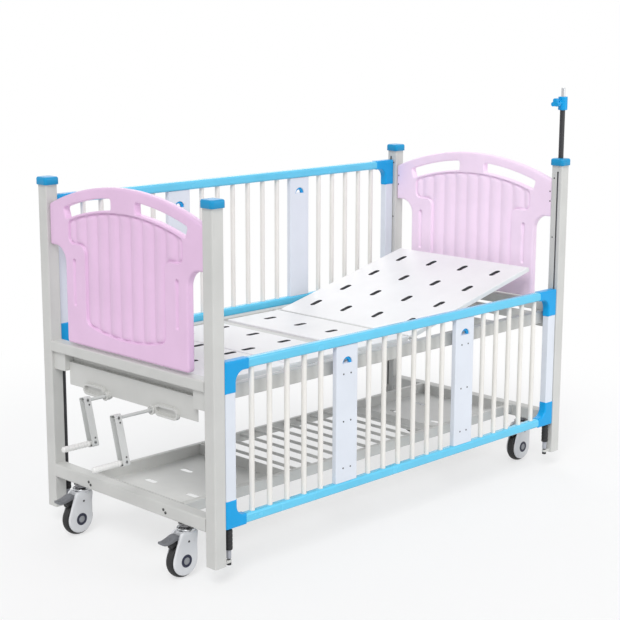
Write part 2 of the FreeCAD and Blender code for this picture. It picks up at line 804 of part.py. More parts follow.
# ---------------------------------------------------------------- deck
def slotted_panel(x0, x1, depth, rows):
    # Sheet panel with flanges turned down all round and rows of slots with pressed collars.
    pan = box(x0, x1, -deck_half_width, deck_half_width, deck_top - depth, deck_top)
    top_edges = [e for e in pan.Edges if e.CenterOfMass.z > deck_top - 1e-3]
    pan = pan.makeFillet(2 * sheet, top_edges)
    pan = pan.cut(box(x0 + sheet, x1 - sheet, -deck_half_width + sheet, deck_half_width - sheet,
                      deck_top - depth - 1, deck_top - sheet))
    collars = []
    holes = []
    for x in rows:
        for i in range(slot_columns):
            foot = V(x, (i - (slot_columns - 1) / 2) * slot_column_pitch, deck_top - slot_collar)
            collars.append(prism(obround(slot_length + 2 * sheet, slot_width + 2 * sheet),
                                 V(0, 0, slot_collar), foot))
            holes.append(prism(obround(slot_length, slot_width), V(0, 0, slot_collar), foot))
    pan = pan.fuse(collars).cut(holes)
    rims = [e for e in pan.Edges if abs(e.CenterOfMass.z - deck_top) < 1e-3 and e.Length < slot_length]
    return pan.makeFillet(slot_rim_radius, rims)


def ears(axis_x, axis_z, direction, layer):
    # Ear plates outside the side flanges, round a hinge axis just off the panel's edge.
    found = []
    y = deck_half_width + layer
    hole = hinge_pin_diameter / 2 + hinge_clearance
    for side in (-1, 1):
        start = side * y if side > 0 else -y - ear_thickness
        disc = cylinder(V(axis_x, start, axis_z), V(0, 1, 0), ear_radius, ear_thickness)
        x = sorted((axis_x, axis_x + direction * ear_length))
        strap = box(x[0], x[1], start, start + ear_thickness, flange_foot, flange_foot + 2 * ear_radius)
        ear = disc.fuse(strap)
        ear = ear.cut(cylinder(V(axis_x, start - 1, axis_z), V(0, 1, 0), hole, ear_thickness + 2))
        found.append(ear)
    return found


def rows_from(axis_x, direction, first, length):
    count = int((length - first - slot_last_gap) / slot_row_pitch) + 1
    return [axis_x + direction * (first + i * slot_row_pitch) for i in range(count)]


def lever(axis_x, direction, mid_angle, crank_y):
    # Two slotted cheeks that hang from a panel's hinge edge and straddle the push tube.
    turn = math.radians(mid_angle)
    down = (-math.sin(turn), -math.cos(turn))
    across = (-down[1], down[0])
    half = lever_width / 2
    pin = cross_pin_diameter / 2
    slot_start = lever_drop - pin - lever_slot_margin
    slot_end = lever_drop / math.cos(turn) + pin + lever_slot_margin
    foot = slot_end + lever_rim
    head = slot_start - lever_rim - half / 2
    under = deck_top - sheet - hinge_z
    root_in = panel_edge_gap + sheet + 1

    def at(along, sideways):
        return V(direction * (down[0] * along + across[0] * sideways), 0,
                 down[1] * along + across[1] * sideways)

    corners = [V(direction * root_in, 0, under), V(direction * lever_root, 0, under),
               V(direction * lever_root, 0, -half), at(head, half), at(foot, half), at(foot, -half),
               at(head, -half), V(direction * root_in, 0, -2 * flange_depth)]
    cheek = Part.Face(Part.makePolygon(corners + corners[:1])).extrude(V(0, lever_sheet, 0))
    foot_edges = edges_along(cheek, V(0, 1, 0),
                             lambda p: math.hypot(p.x, p.z) > foot - 1)
    cheek = cheek.makeFillet(half * 0.8, foot_edges)
    width = lever_slot_width
    middle = (slot_start + slot_end) / 2
    slot = prism(rounded_rectangle(width, slot_end - slot_start, width), V(0, lever_sheet + 2, 0),
                 V(0, -1, -middle))
    slot.rotate(V(0, 0, 0), V(0, 1, 0), direction * mid_angle)
    cheek = cheek.cut(slot)
    cheeks = []
    for side in (-1, 1):
        placed = cheek.copy()
        start = lever_gap if side > 0 else -lever_gap - lever_sheet
        placed.translate(V(axis_x, crank_y + start, hinge_z))
        cheeks.append(placed)
    return cheeks


def turned(shape, axis_x, axis_z, degrees):
    placed = shape.copy()
    placed.rotate(V(axis_x, 0, axis_z), V(0, 1, 0), degrees)
    return placed


seat_foot_x = thigh_axis_x + hinge_bar_gap + hinge_bar_width + seat_foot_gap
seat_row_x = (seat_foot_x + seat_head_x) / 2
save("seat_panel", slotted_panel(seat_foot_x, seat_head_x, flange_depth + rest_clearance, [seat_row_x]))

backrest = slotted_panel(backrest_axis_x + panel_edge_gap, backrest_axis_x + backrest_length,
                         flange_depth, rows_from(backrest_axis_x, 1, slot_first_backrest, backrest_length))
backrest = fuse([backrest] + ears(backrest_axis_x, hinge_z, 1, 0))
save("backrest_panel", turned(backrest, backrest_axis_x, hinge_z, -backrest_rest_angle))
backrest_lever = group(lever(backrest_axis_x, 1, backrest_mid_angle, crank_offset))
save("backrest_lever", turned(backrest_lever, backrest_axis_x, hinge_z, -backrest_rest_angle))

thigh = slotted_panel(knee_axis_x + panel_edge_gap, thigh_axis_x - panel_edge_gap, flange_depth,
                      rows_from(thigh_axis_x, -1, slot_first_thigh, thigh_axis_x - knee_axis_x))
thigh = fuse([thigh] + ears(thigh_axis_x, hinge_z, -1, 0) + ears(knee_axis_x, knee_z, 1, 0))
pins = []
for side in (-1, 1):
    pin_start = side * deck_half_width
    pins.append(cylinder(V(knee_axis_x, pin_start, knee_z), V(0, side, 0), hinge_pin_diameter / 2,
                         2 * ear_thickness + 2))
thigh = fuse([thigh] + pins)
save("thigh_panel", thigh)
save("thigh_lever", group(lever(thigh_axis_x, -1, thigh_mid_angle, -crank_offset)))

leg_foot_x = -inner_x + leg_end_gap
leg = slotted_panel(leg_foot_x, knee_axis_x - panel_edge_gap, flange_depth,
                    rows_from(knee_axis_x, -1, slot_first_leg, knee_axis_x - leg_foot_x))
leg_ear_layer = ear_thickness + 2 * rest_clearance
leg_ears = ears(knee_axis_x, knee_z, -1, leg_ear_layer)
spacers = []
for side in (-1, 1):
    y = sorted((side * deck_half_width, side * (deck_half_width + leg_ear_layer)))
    spacers.append(box(knee_axis_x - ear_length, knee_axis_x - ear_length / 2, y[0], y[1],
                       flange_foot, flange_foot + 2 * ear_radius))
save("leg_panel", fuse([leg] + spacers + leg_ears))

# Deck frame of side tubes, cross tubes, hinge bar, hinge pins and hangers on the end beams, which
# stay separate solids that meet where they are welded.
frame_parts = []
for side in (-1, 1):
    frame_parts.append(tube(side_tube_width, side_tube_height, frame_wall, frame_corner_radius,
                            V(2 * inner_x, 0, 0),
                            V(-inner_x, side * side_tube_y, side_tube_top - side_tube_height / 2)))
tube_side = side_tube_y - side_tube_width / 2
end_bar_height = support_top - side_tube_foot
end_bar_x = inner_x - cross_tube / 2
bars_across = [(x, cross_tube, cross_tube, support_top) for x in cross_tube_x]
bars_across += [(end * end_bar_x, cross_tube, end_bar_height, support_top) for end in (-1, 1)]
hinge_bar_x = thigh_axis_x + hinge_bar_gap + hinge_bar_width / 2
bars_across.append((hinge_bar_x, hinge_bar_width, hinge_bar_height, hinge_z))
for x, width, height, top in bars_across:
    frame_parts.append(tube(width, height, frame_wall, frame_corner_radius, V(0, 2 * tube_side, 0),
                            V(x, -tube_side, top - height / 2)))
for axis in (backrest_axis_x, thigh_axis_x):
    for side in (-1, 1):
        pin_tip = deck_half_width + rest_clearance
        frame_parts.append(cylinder(V(axis, side * tube_side, hinge_z), V(0, -side, 0),
                                    hinge_pin_diameter / 2, tube_side - pin_tip))
hanger_top = upper_beam_top - upper_beam_height
for end in (-1, 1):
    for side in (-1, 1):
        x = sorted((end * inner_x, end * (inner_x + hanger_depth)))
        y = sorted((side * inner_y, side * (inner_y - hanger_width)))
        hanger = box(x[0], x[1], y[0], y[1], side_tube_foot - hanger_drop, hanger_top)
        foot_edges = edges_along(hanger, V(1, 0, 0), lambda p: p.z < hanger_top - 1)
        frame_parts.append(hanger.makeFillet(frame_corner_radius, foot_edges))
save("deck_frame", group(frame_parts))


# ---------------------------------------------------------------- crank drives
def crank_plate():
    face_x = -crank_plate_x
    web = box(face_x - crank_plate_sheet, face_x, -crank_plate_half_width, crank_plate_half_width,
              crank_z, crank_plate_top)
    shelf = box(face_x, -inner_x, -crank_plate_half_width, crank_plate_half_width,
                crank_plate_top - crank_plate_sheet, crank_plate_top)
    parts = [web, shelf]
    cuts = []
    for side in (-1, 1):
        y = side * crank_offset
        parts.append(cylinder(V(face_x, y, crank_z), V(-1, 0, 0), boss_diameter / 2,
                              crank_plate_sheet + boss_length))
        rim_length = pocket_length + 2 * pocket_rim
        rim_height = pocket_height + 2 * pocket_rim
        pocket_y = side * (pocket_inner + pocket_length / 2)
        pocket_z = crank_z + pocket_height / 2 - pocket_rim
        base = V(face_x - crank_plate_sheet - pocket_depth, pocket_y, pocket_z)
        parts.append(prism(obround(rim_length, rim_height), V(pocket_depth + crank_plate_sheet, 0, 0), base))
        cuts.append(prism(obround(pocket_length, pocket_height), V(pocket_depth, 0, 0), base))
        cuts.append(cylinder(V(-inner_x, y, crank_z), V(-1, 0, 0), shaft_diameter / 2 + shaft_clearance,
                             cot_length))
    return fuse(parts).cut(cuts)


def crank(arm_x, y, screw_end):
    # Shaft, channel-shaped arm with its fold pin, thrust collar and lead screw, made as one weldment.
    arm_length = arm_pitch + 2 * arm_end
    back = -arm_x + arm_depth / 2
    front = -arm_x - arm_depth / 2
    middle = -arm_pitch / 2
    channel = prism(rounded_rectangle(arm_width, arm_length, arm_corner_radius), V(arm_depth, 0, 0),
                    V(front, 0, middle))
    inside = prism(rounded_rectangle(arm_width - 2 * arm_sheet, arm_length - 2 * arm_sheet,
                                     arm_corner_radius - arm_sheet),
                   V(arm_depth - arm_sheet, 0, 0), V(front, 0, middle))
    channel = channel.cut(inside)
    pins = []
    for z in (0, -arm_pitch):
        pins.append(cylinder(V(-arm_x, -arm_width / 2, z), V(0, 1, 0), fold_pin_diameter / 2, arm_width))
    arm = fuse([channel] + pins)
    arm.rotate(V(0, 0, 0), V(1, 0, 0), -arm_tilt)
    shaft = cylinder(V(-arm_x, 0, 0), V(1, 0, 0), shaft_diameter / 2, arm_x - inner_x)
    collar = cylinder(V(-crank_plate_x + thrust_clearance, 0, 0), V(1, 0, 0), thrust_collar_diameter / 2,
                      collar_width)
    screw = cylinder(V(-inner_x, 0, 0), V(1, 0, 0), screw_diameter / 2, screw_end + inner_x)
    whole = fuse([arm, shaft, collar, screw])
    whole.translate(V(0, y, crank_z))
    return whole


def grip(arm_x, y):
    # Handle on the fold pin: a slim root inside the channel, then the full round grip.
    hole = fold_pin_diameter / 2 + fold_clearance
    radius = grip_diameter / 2
    pin = V(-arm_x, 0, 0)
    root = cylinder(pin + V(0, -radius, 0), V(0, 1, 0), grip_root_radius, 2 * radius)
    neck = cylinder(pin, V(-1, 0, 0), grip_neck_radius, grip_root_gap + radius / 2)
    barrel = cylinder(pin + V(-grip_root_gap, 0, 0), V(-1, 0, 0), radius, grip_length - grip_root_gap)
    ends = [e for e in barrel.Edges if e.Closed and abs(e.CenterOfMass.x - barrel.BoundBox.XMin) < 1e-3]
    barrel = barrel.makeFillet(radius * 0.7, ends)
    handle = fuse([root, neck, barrel])
    handle = handle.cut(cylinder(pin + V(0, -2 * radius, 0), V(0, 1, 0), hole, 4 * radius))
    handle.translate(V(0, 0, -arm_pitch))
    handle.rotate(V(0, 0, 0), V(1, 0, 0), -arm_tilt)
    handle.translate(V(0, y, crank_z))
    return handle


def push_tube(nut_x, pin_x, y):
    # Nut on the screw, the tube that it pushes, and the cross pin in the lever's slots.
    half = nut_size / 2
    nut_end = nut_x + nut_length / 2
    nut = box(nut_x - nut_length / 2, nut_end, -half, half, -half, half)
    nut = nut.makeFillet(3, edges_along(nut, V(1, 0, 0), lambda p: True))
    body = cylinder(V(nut_end, 0, 0), V(1, 0, 0), push_tube_diameter / 2, pin_x + half - nut_end)
    bore = cylinder(V(nut_end, 0, 0), V(1, 0, 0), push_tube_bore / 2, pin_x - half - nut_end)
    thread = cylinder(V(nut_x - nut_length, 0, 0), V(1, 0, 0), screw_diameter / 2 + screw_clearance,
                      2 * nut_length)
    pin = cylinder(V(pin_x, -cross_pin_length / 2, 0), V(0, 1, 0), cross_pin_diameter / 2,
                   cross_pin_length)
    whole = nut.fuse(body).cut(bore).fuse(pin).cut(thread).removeSplitter()
    whole.translate(V(0, y, crank_z))
    return whole


def pin_travel(degrees):
    # Travel of the cross pin for a turn of the panel; the lever swings it nearly in proportion.
    return lever_gain * lever_drop * math.radians(degrees)


save("crank_plate", crank_plate())
drives = (("backrest", arm_x_backrest, crank_offset, nut_x_backrest, backrest_axis_x, 1,
           backrest_rest_angle - backrest_mid_angle, backrest_top_angle - backrest_rest_angle),
          ("knee", arm_x_knee, -crank_offset, nut_x_knee, thigh_axis_x, -1, -thigh_mid_angle, 0))
for name, arm_x, y, nut_x, axis_x, direction, lever_angle, forward in drives:
    screw_end = nut_x + pin_travel(forward) + nut_length / 2 + spare_turns * screw_lead
    pin_x = axis_x + direction * pin_travel(lever_angle)
    save(name + "_crank", crank(arm_x, y, screw_end))
    save(name + "_grip", grip(arm_x, y))
    save(name + "_push_tube", push_tube(nut_x, pin_x, y))

# ---------------------------------------------------------------- storage tray
rails_and_rods = []
tray_inner = tray_half_width - tray_rail_width
for side in (-1, 1):
    rails_and_rods.append(tube(tray_rail_width, tray_rail_height, frame_wall, frame_corner_radius,
                               V(2 * inner_x, 0, 0),
                               V(-inner_x, side * (tray_half_width - tray_rail_width / 2),
                                 lower_beam_top - tray_rail_height / 2)))
for i in range(rod_count):
    x = -rod_end_x + 2 * rod_end_x * i / (rod_count - 1)
    rails_and_rods.append(cylinder(V(x, -tray_inner, rod_z), V(0, 1, 0), rod_diameter / 2,
                                   2 * tray_inner))
save("tray_frame", group(rails_and_rods))

pan = box(-inner_x, -pan_inner_x, -tray_inner, tray_inner, pan_floor, lower_beam_top)
pan = pan.cut(box(-inner_x + pan_sheet, -pan_inner_x - pan_sheet, -tray_inner + pan_sheet,
                  tray_inner - pan_sheet, pan_floor + pan_sheet, lower_beam_top + 1))
for from_end in pan_hole_from_end:
    for y in (-pan_hole_y, pan_hole_y):
        pan = pan.cut(prism(obround(pan_hole_width, pan_hole_length), V(0, 0, 3 * pan_sheet),
                            V(from_end - inner_x, y, pan_floor - pan_sheet)))
save("foot_tray_pan", pan)
save("head_tray_pan", flip_x(pan))


# ---------------------------------------------------------------- casters
# Drawn about the swivel axis, trailing towards -X.
axle_x = -caster_trail
half_fork = tyre_width / 2 + wheel_side_gap + shield_thickness


def across(x, z, radius, half_width):
    return cylinder(V(x, -half_width, z), V(0, 1, 0), radius, 2 * half_width)


def fork():
    disc = across(axle_x, wheel_radius, shield_radius, half_fork)
    shoulder_z = wheel_radius + shield_radius * 0.3
    spread = shield_radius * math.sqrt(1 - 0.3 * 0.3)
    corners = (V(fork_front, 0, fork_top), V(-fork_back, 0, fork_top), V(axle_x - spread, 0, shoulder_z),
               V(axle_x + spread, 0, shoulder_z), V(fork_front, 0, fork_top))
    cheek = Part.Face(Part.makePolygon(corners)).extrude(V(0, 2 * half_fork, 0))
    cheek.translate(V(0, -half_fork, 0))
    body = disc.fuse(cheek).removeSplitter()
    rims = [e for e in body.Edges if abs(abs(e.CenterOfMass.y) - half_fork) < 1e-3]
    body = body.makeFillet(shield_edge_radius, rims)
    head = cylinder(V(0, 0, swivel_head_foot), V(0, 0, 1), swivel_head_diameter / 2,
                    swivel_head_top - swivel_head_foot)
    head_rim = [e for e in head.Edges if e.Closed and e.CenterOfMass.z > swivel_head_top - 1e-3]
    body = body.fuse(head.makeFillet(shield_edge_radius / 2, head_rim))
    caps_on_axle = across(axle_x, wheel_radius, axle_cap_diameter / 2, half_fork + axle_cap_height)
    body = body.fuse(caps_on_axle)
    well = across(axle_x, wheel_radius, wheel_radius + wheel_well_gap, tyre_width / 2 + wheel_side_gap)
    half_pedal = pedal_width / 2 + pedal_side_gap
    slot_x = -pedal_pivot_out + pedal_hub_radius + pedal_back_gap
    slot = box(-caster_trail - pedal_reach, slot_x, -half_pedal, half_pedal, wheel_radius,
               pedal_pivot_z + pedal_hub_radius + pedal_back_gap)
    stem_hole = cylinder(V(0, 0, wheel_radius), V(0, 0, 1), stem_diameter / 2 + stem_clearance, cot_width)
    body = body.cut([well, slot, stem_hole])
    axle = across(axle_x, wheel_radius, axle_diameter / 2, half_fork)
    pedal_pin = across(-pedal_pivot_out, pedal_pivot_z, pedal_pin_diameter / 2, half_fork - 1)
    return body.fuse([axle, pedal_pin]).removeSplitter()


def wheel():
    hub_radius = wheel_radius - tyre_thickness
    hub = across(axle_x, wheel_radius, hub_radius, hub_width / 2)
    for side in (-1, 1):
        face = side * hub_width / 2
        pocket = cylinder(V(axle_x, face, wheel_radius), V(0, -side, 0), hub_radius - hub_rim,
                          hub_pocket_depth)
        pocket = pocket.cut(cylinder(V(axle_x, face, wheel_radius), V(0, -side, 0), hub_core_radius,
                                     hub_pocket_depth))
        hub = hub.cut(pocket)
    hub = hub.cut(across(axle_x, wheel_radius, axle_diameter / 2 + axle_clearance, hub_width))
    tyre = across(axle_x, wheel_radius, wheel_radius, tyre_width / 2)
    tyre = tyre.makeFillet(tyre_edge_radius, [e for e in tyre.Edges if e.Closed])
    tyre = tyre.cut(across(axle_x, wheel_radius, hub_radius, tyre_width))
    return group([hub, tyre])


def pad_point(angle):
    # Point of the brake pad, out from the pedal's pivot and up: pressed, it lies on the tread at this
    # angle from the top of the wheel, and the pedal is drawn released.
    turn = math.radians(angle)
    out = caster_trail - pedal_pivot_out + (wheel_radius + brake_gap) * math.sin(turn)
    up = wheel_radius - pedal_pivot_z + (wheel_radius + brake_gap) * math.cos(turn)
    back = math.radians(pedal_travel)
    return out * math.cos(back) - up * math.sin(back), out * math.sin(back) + up * math.cos(back)


def pedal():
    # Profile out from the pivot: hub, tread with a raised lip at the tip, and the curved pad below.
    tip = caster_trail + pedal_reach - pedal_pivot_out
    half = pedal_thickness / 2
    under = -half - pedal_tip_drop
    lip = half - pedal_tip_drop + pedal_lip
    pad_in, pad_middle, pad_out = [pad_point(a) for a in (pad_from_angle, pad_middle_angle, pad_to_angle)]
    upper = ((pad_in[0] - pad_slope, -half), (0, -pedal_hub_radius), (0, pedal_hub_radius),
             (tip - 3 * half, half - pedal_tip_drop), (tip - half, lip), (tip, lip), (tip, -pedal_tip_drop),
             (tip - half, under), (pad_out[0] + pad_slope, under))
    corners = [V(-a, 0, b) for a, b in (pad_in,) + upper + (pad_out,)]
    edges = [Part.LineSegment(a, b).toShape() for a, b in zip(corners, corners[1:])]
    edges.append(Part.Arc(corners[-1], V(-pad_middle[0], 0, pad_middle[1]), corners[0]).toShape())
    tread = Part.Face(Part.Wire(edges)).extrude(V(0, pedal_width, 0))
    tread.translate(V(0, -pedal_width / 2, 0))
    tread = tread.fuse(across(0, 0, pedal_hub_radius, pedal_width / 2)).removeSplitter()
    sides = [e for e in tread.Edges
             if abs(abs(e.CenterOfMass.y) - pedal_width / 2) < 1e-3 and e.CenterOfMass.x < -tip + 4 * half]
    tread = tread.makeFillet(pedal_edge_radius, sides)
    hole = across(0, 0, pedal_pin_diameter / 2 + pedal_pin_clearance, pedal_width)
    tread = tread.cut(hole)
    tread.translate(V(-pedal_pivot_out, 0, pedal_pivot_z))
    return tread


race = cylinder(V(0, 0, race_foot), V(0, 0, 1), race_diameter / 2, lower_beam_foot - race_foot)
stem = cylinder(V(0, 0, swivel_head_foot), V(0, 0, 1), stem_diameter / 2, race_foot - swivel_head_foot)
race = race.fuse(stem)
caster_pieces = {"caster_fork": fork(), "caster_wheel": wheel(), "caster_pedal": pedal()}
races = []
for end, end_name in ((-1, "foot"), (1, "head")):
    for side, side_name in ((-1, "near"), (1, "far")):
        place = V(end * post_x, side * caster_y, 0)
        for name, piece in caster_pieces.items():
            placed = piece.copy()
            placed.translate(place)
            save(name + "_" + end_name + "_" + side_name, placed)
        placed = race.copy()
        placed.translate(place)
        races.append(placed)
save("caster_races", group(races))

# ---------------------------------------------------------------- infusion pole
pole_foot = post_top - pole_tube_depth
pole_bore = pole_rod_diameter / 2 + pole_clearance
pole = cylinder(V(0, 0, pole_foot), V(0, 0, 1), pole_tube_diameter / 2, pole_tube_top - pole_foot)
pole = pole.cut(cylinder(V(0, 0, pole_foot), V(0, 0, 1), pole_bore, cot_length))

collar_foot = pole_tube_top - collar_socket
knob_z = collar_foot + knob_above_foot
collar = cylinder(V(0, 0, collar_foot), V(0, 0, 1), collar_diameter / 2, collar_height)
collar = collar.makeFillet(collar_edge_radius, [e for e in collar.Edges if e.Closed])
boss = cylinder(V(0, 0, knob_z), V(-1, 0, 0), knob_boss_diameter / 2, knob_boss_reach)
collar = collar.fuse(boss)
collar = collar.cut([cylinder(V(0, 0, pole_foot), V(0, 0, 1), pole_bore, cot_length),
                     cylinder(V(0, 0, pole_foot), V(0, 0, 1), pole_tube_diameter / 2,
                              pole_tube_top - pole_foot),
                     cylinder(V(0, 0, knob_z), V(-1, 0, 0),
                              knob_screw_diameter / 2 + knob_screw_clearance, cot_width)])

rod = cylinder(V(0, 0, pole_rod_top - pole_rod_length), V(0, 0, 1), pole_rod_diameter / 2,
               pole_rod_length)
rod_ends = [e for e in rod.Edges if e.Closed and e.CenterOfMass.z > pole_rod_top - 1e-3]
rod = rod.makeFillet(pole_rod_diameter / 8, rod_ends)

knob_back = knob_reach - knob_thickness
knob = cylinder(V(-knob_back, 0, knob_z), V(-1, 0, 0), knob_lobe_circle, knob_thickness)
for i in range(knob_lobes):
    turn = 2 * math.pi * i / knob_lobes
    lobe_y = knob_lobe_circle * math.sin(turn)
    lobe_z = knob_lobe_circle * math.cos(turn)
    knob = knob.fuse(cylinder(V(-knob_back, lobe_y, knob_z + lobe_z), V(-1, 0, 0), knob_lobe_radius,
                              knob_thickness))
screw_tip = pole_bore + knob_gap / 4
knob = knob.fuse(cylinder(V(-screw_tip, 0, knob_z), V(-1, 0, 0), knob_screw_diameter / 2,
                          knob_back - screw_tip)).removeSplitter()
for name, piece in (("pole_tube", pole), ("pole_collar", collar), ("pole_rod", rod), ("pole_knob", knob)):
    piece.translate(V(post_x, -post_y, 0))
    save(name, piece)
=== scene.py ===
import bpy
import math
import numpy as np
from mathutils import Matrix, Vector
from mathutils.geometry import delaunay_2d_cdt


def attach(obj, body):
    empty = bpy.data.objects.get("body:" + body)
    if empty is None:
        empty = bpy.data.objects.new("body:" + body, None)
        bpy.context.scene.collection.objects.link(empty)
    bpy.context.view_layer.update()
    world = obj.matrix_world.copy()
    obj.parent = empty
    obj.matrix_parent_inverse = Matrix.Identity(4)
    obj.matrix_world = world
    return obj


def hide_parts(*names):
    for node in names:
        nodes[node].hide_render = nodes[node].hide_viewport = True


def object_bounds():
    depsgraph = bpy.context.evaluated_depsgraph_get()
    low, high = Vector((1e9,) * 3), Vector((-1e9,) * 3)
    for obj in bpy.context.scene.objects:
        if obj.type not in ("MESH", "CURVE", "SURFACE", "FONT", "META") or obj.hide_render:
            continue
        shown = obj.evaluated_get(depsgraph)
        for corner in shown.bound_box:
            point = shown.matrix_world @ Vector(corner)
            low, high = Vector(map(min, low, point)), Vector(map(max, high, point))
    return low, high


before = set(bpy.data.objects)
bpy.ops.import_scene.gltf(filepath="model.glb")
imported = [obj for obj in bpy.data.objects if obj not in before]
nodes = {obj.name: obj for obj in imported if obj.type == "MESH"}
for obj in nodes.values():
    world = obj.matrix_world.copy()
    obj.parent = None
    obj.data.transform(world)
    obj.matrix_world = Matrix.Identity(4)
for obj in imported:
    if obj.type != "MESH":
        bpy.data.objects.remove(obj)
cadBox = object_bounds()
print("frame loaded,", len(nodes), "nodes")
ends = ("foot", "head")
sides = ("near", "far")
middle = np.array([125.25, 0.0, 0.0])      # millimetres, the middle of the cot in the frame

# camera, light and floor
view = {
    "cameraPlace": (-3.9042, -3.9423, 1.9030),   # metres, as all in this dictionary
    "cameraTurn": (78.44, -0.153, -45.221),      # degrees
    "focalLength": 84.98,                        # millimetres, like the sensor's width
    "sensorWidth": 36.0,
    "sight": 60.0,                               # how far the camera sees
    "floorColour": (0.86, 0.86, 0.86),
    "floorReach": 14.0,                          # from the middle to each side
    "floorGlow": 0.62,                           # share of plain white in what the camera sees
    "floorFade": (1.5, 3.0),                     # from the middle, where it becomes all white
    "skyColour": (0.97, 0.98, 1.0),
    "skyLight": 0.55,
    "sunWay": (0.55, 0.42, -0.72),               # the way that the main light travels
    "sunStrength": 1.62,
    "sunSpread": 28.0,                           # degrees
    "lampSize": 4.0,
    "lamps": {"fill": ((2.4, -6.0, 3.0), 95.0), "back": ((3.6, 4.4, 4.4), 60.0)},     # place, watts
}


def addCamera():
    camera = bpy.data.cameras.new("camera")
    camera.lens = view["focalLength"]
    camera.sensor_width = view["sensorWidth"]
    camera.clip_end = view["sight"]
    rig = bpy.data.objects.new("camera", camera)
    rig.location = view["cameraPlace"]
    rig.rotation_euler = [math.radians(a) for a in view["cameraTurn"]]
    bpy.context.scene.collection.objects.link(rig)
    bpy.context.scene.camera = rig


def hangLamp(lamp, place, way):
    # tipped by the angle between its way and straight down, then turned towards the way's x and y
    way = np.array(way) / np.linalg.norm(way)
    rig = bpy.data.objects.new(lamp.name, lamp)
    rig.location = place
    rig.rotation_euler = (math.acos(-way[2]), 0.0, math.atan2(way[1], way[0]) - math.pi / 2)
    bpy.context.scene.collection.objects.link(rig)


def addLamps():
    low, high = cadBox
    target = np.array([(a + b) / 2 for a, b in zip(low, high)])
    sun = bpy.data.lights.new("sun", "SUN")
    sun.energy = view["sunStrength"]
    sun.angle = math.radians(view["sunSpread"])
    hangLamp(sun, (0.0, 0.0, 0.0), view["sunWay"])
    for name, (place, power) in view["lamps"].items():
        lamp = bpy.data.lights.new(name, "AREA")
        lamp.shape = "SQUARE"
        lamp.size = view["lampSize"]
        lamp.energy = power
        hangLamp(lamp, place, target - np.array(place))


def plug(tree, node, inputs):
    # each input takes a plain value, or is linked to another node's output
    for socket, value in inputs.items():
        if isinstance(value, bpy.types.NodeSocket):
            tree.links.new(value, node.inputs[socket])
        else:
            node.inputs[socket].default_value = value
    return node


def addNode(tree, kind, inputs):
    return plug(tree, tree.nodes.new("ShaderNode" + kind), inputs)


def whiteToCamera(tree, shader, kind, share=None):
    # the shader lights the cot, while the camera and the reflections see white, or a share of it
    path = addNode(tree, "LightPath", {})
    seen = addNode(tree, "Math", {0: path.outputs["Is Camera Ray"], 1: path.outputs["Is Glossy Ray"]})
    seen.operation = "MAXIMUM"
    if share is not None:
        seen = addNode(tree, "Math", {0: share, 1: seen.outputs[0]})
        seen.operation = "MULTIPLY"
    glow = addNode(tree, kind, {"Color": (1.0, 1.0, 1.0, 1.0)})
    mix = addNode(tree, "MixShader", {0: seen.outputs[0], 1: shader.outputs[0], 2: glow.outputs[0]})
    return mix.outputs[0]


def addWorld():
    scene = bpy.context.scene
    scene.view_settings.view_transform = "Standard"
    world = bpy.data.worlds.new("studio")
    world.use_nodes = True
    tree = world.node_tree
    tree.nodes.clear()
    soft = addNode(tree, "Background", {"Color": (*view["skyColour"], 1.0), "Strength": view["skyLight"]})
    addNode(tree, "OutputWorld", {"Surface": whiteToCamera(tree, soft, "Background")})
    scene.world = world


def addFloor():
    # close to the cot the camera sees soft contact shadows, and further off the floor fades to white
    r = view["floorReach"]
    mesh = bpy.data.meshes.new("floor")
    mesh.from_pydata([(-r, -r, 0.0), (r, -r, 0.0), (r, r, 0.0), (-r, r, 0.0)], [], [(0, 1, 2, 3)])
    floor = bpy.data.objects.new("floor", mesh)
    bpy.context.scene.collection.objects.link(floor)
    material = bpy.data.materials.new("floor")
    material.use_nodes = True
    tree = material.node_tree
    shader = plug(tree, tree.nodes["Principled BSDF"], {
        "Base Color": (*view["floorColour"], 1.0), "Roughness": 0.9, "Specular IOR Level": 0.1})
    place = addNode(tree, "TexCoord", {})
    away = addNode(tree, "VectorMath", {0: place.outputs["Object"]})
    away.operation = "LENGTH"
    start, stop = view["floorFade"]
    fade = addNode(tree, "MapRange", {"Value": away.outputs["Value"], "From Min": start, "From Max": stop,
                                      "To Min": view["floorGlow"]})
    fade.interpolation_type = "SMOOTHSTEP"
    seen = whiteToCamera(tree, shader, "Emission", fade.outputs["Result"])
    plug(tree, tree.nodes["Material Output"], {"Surface": seen})
    mesh.materials.append(material)


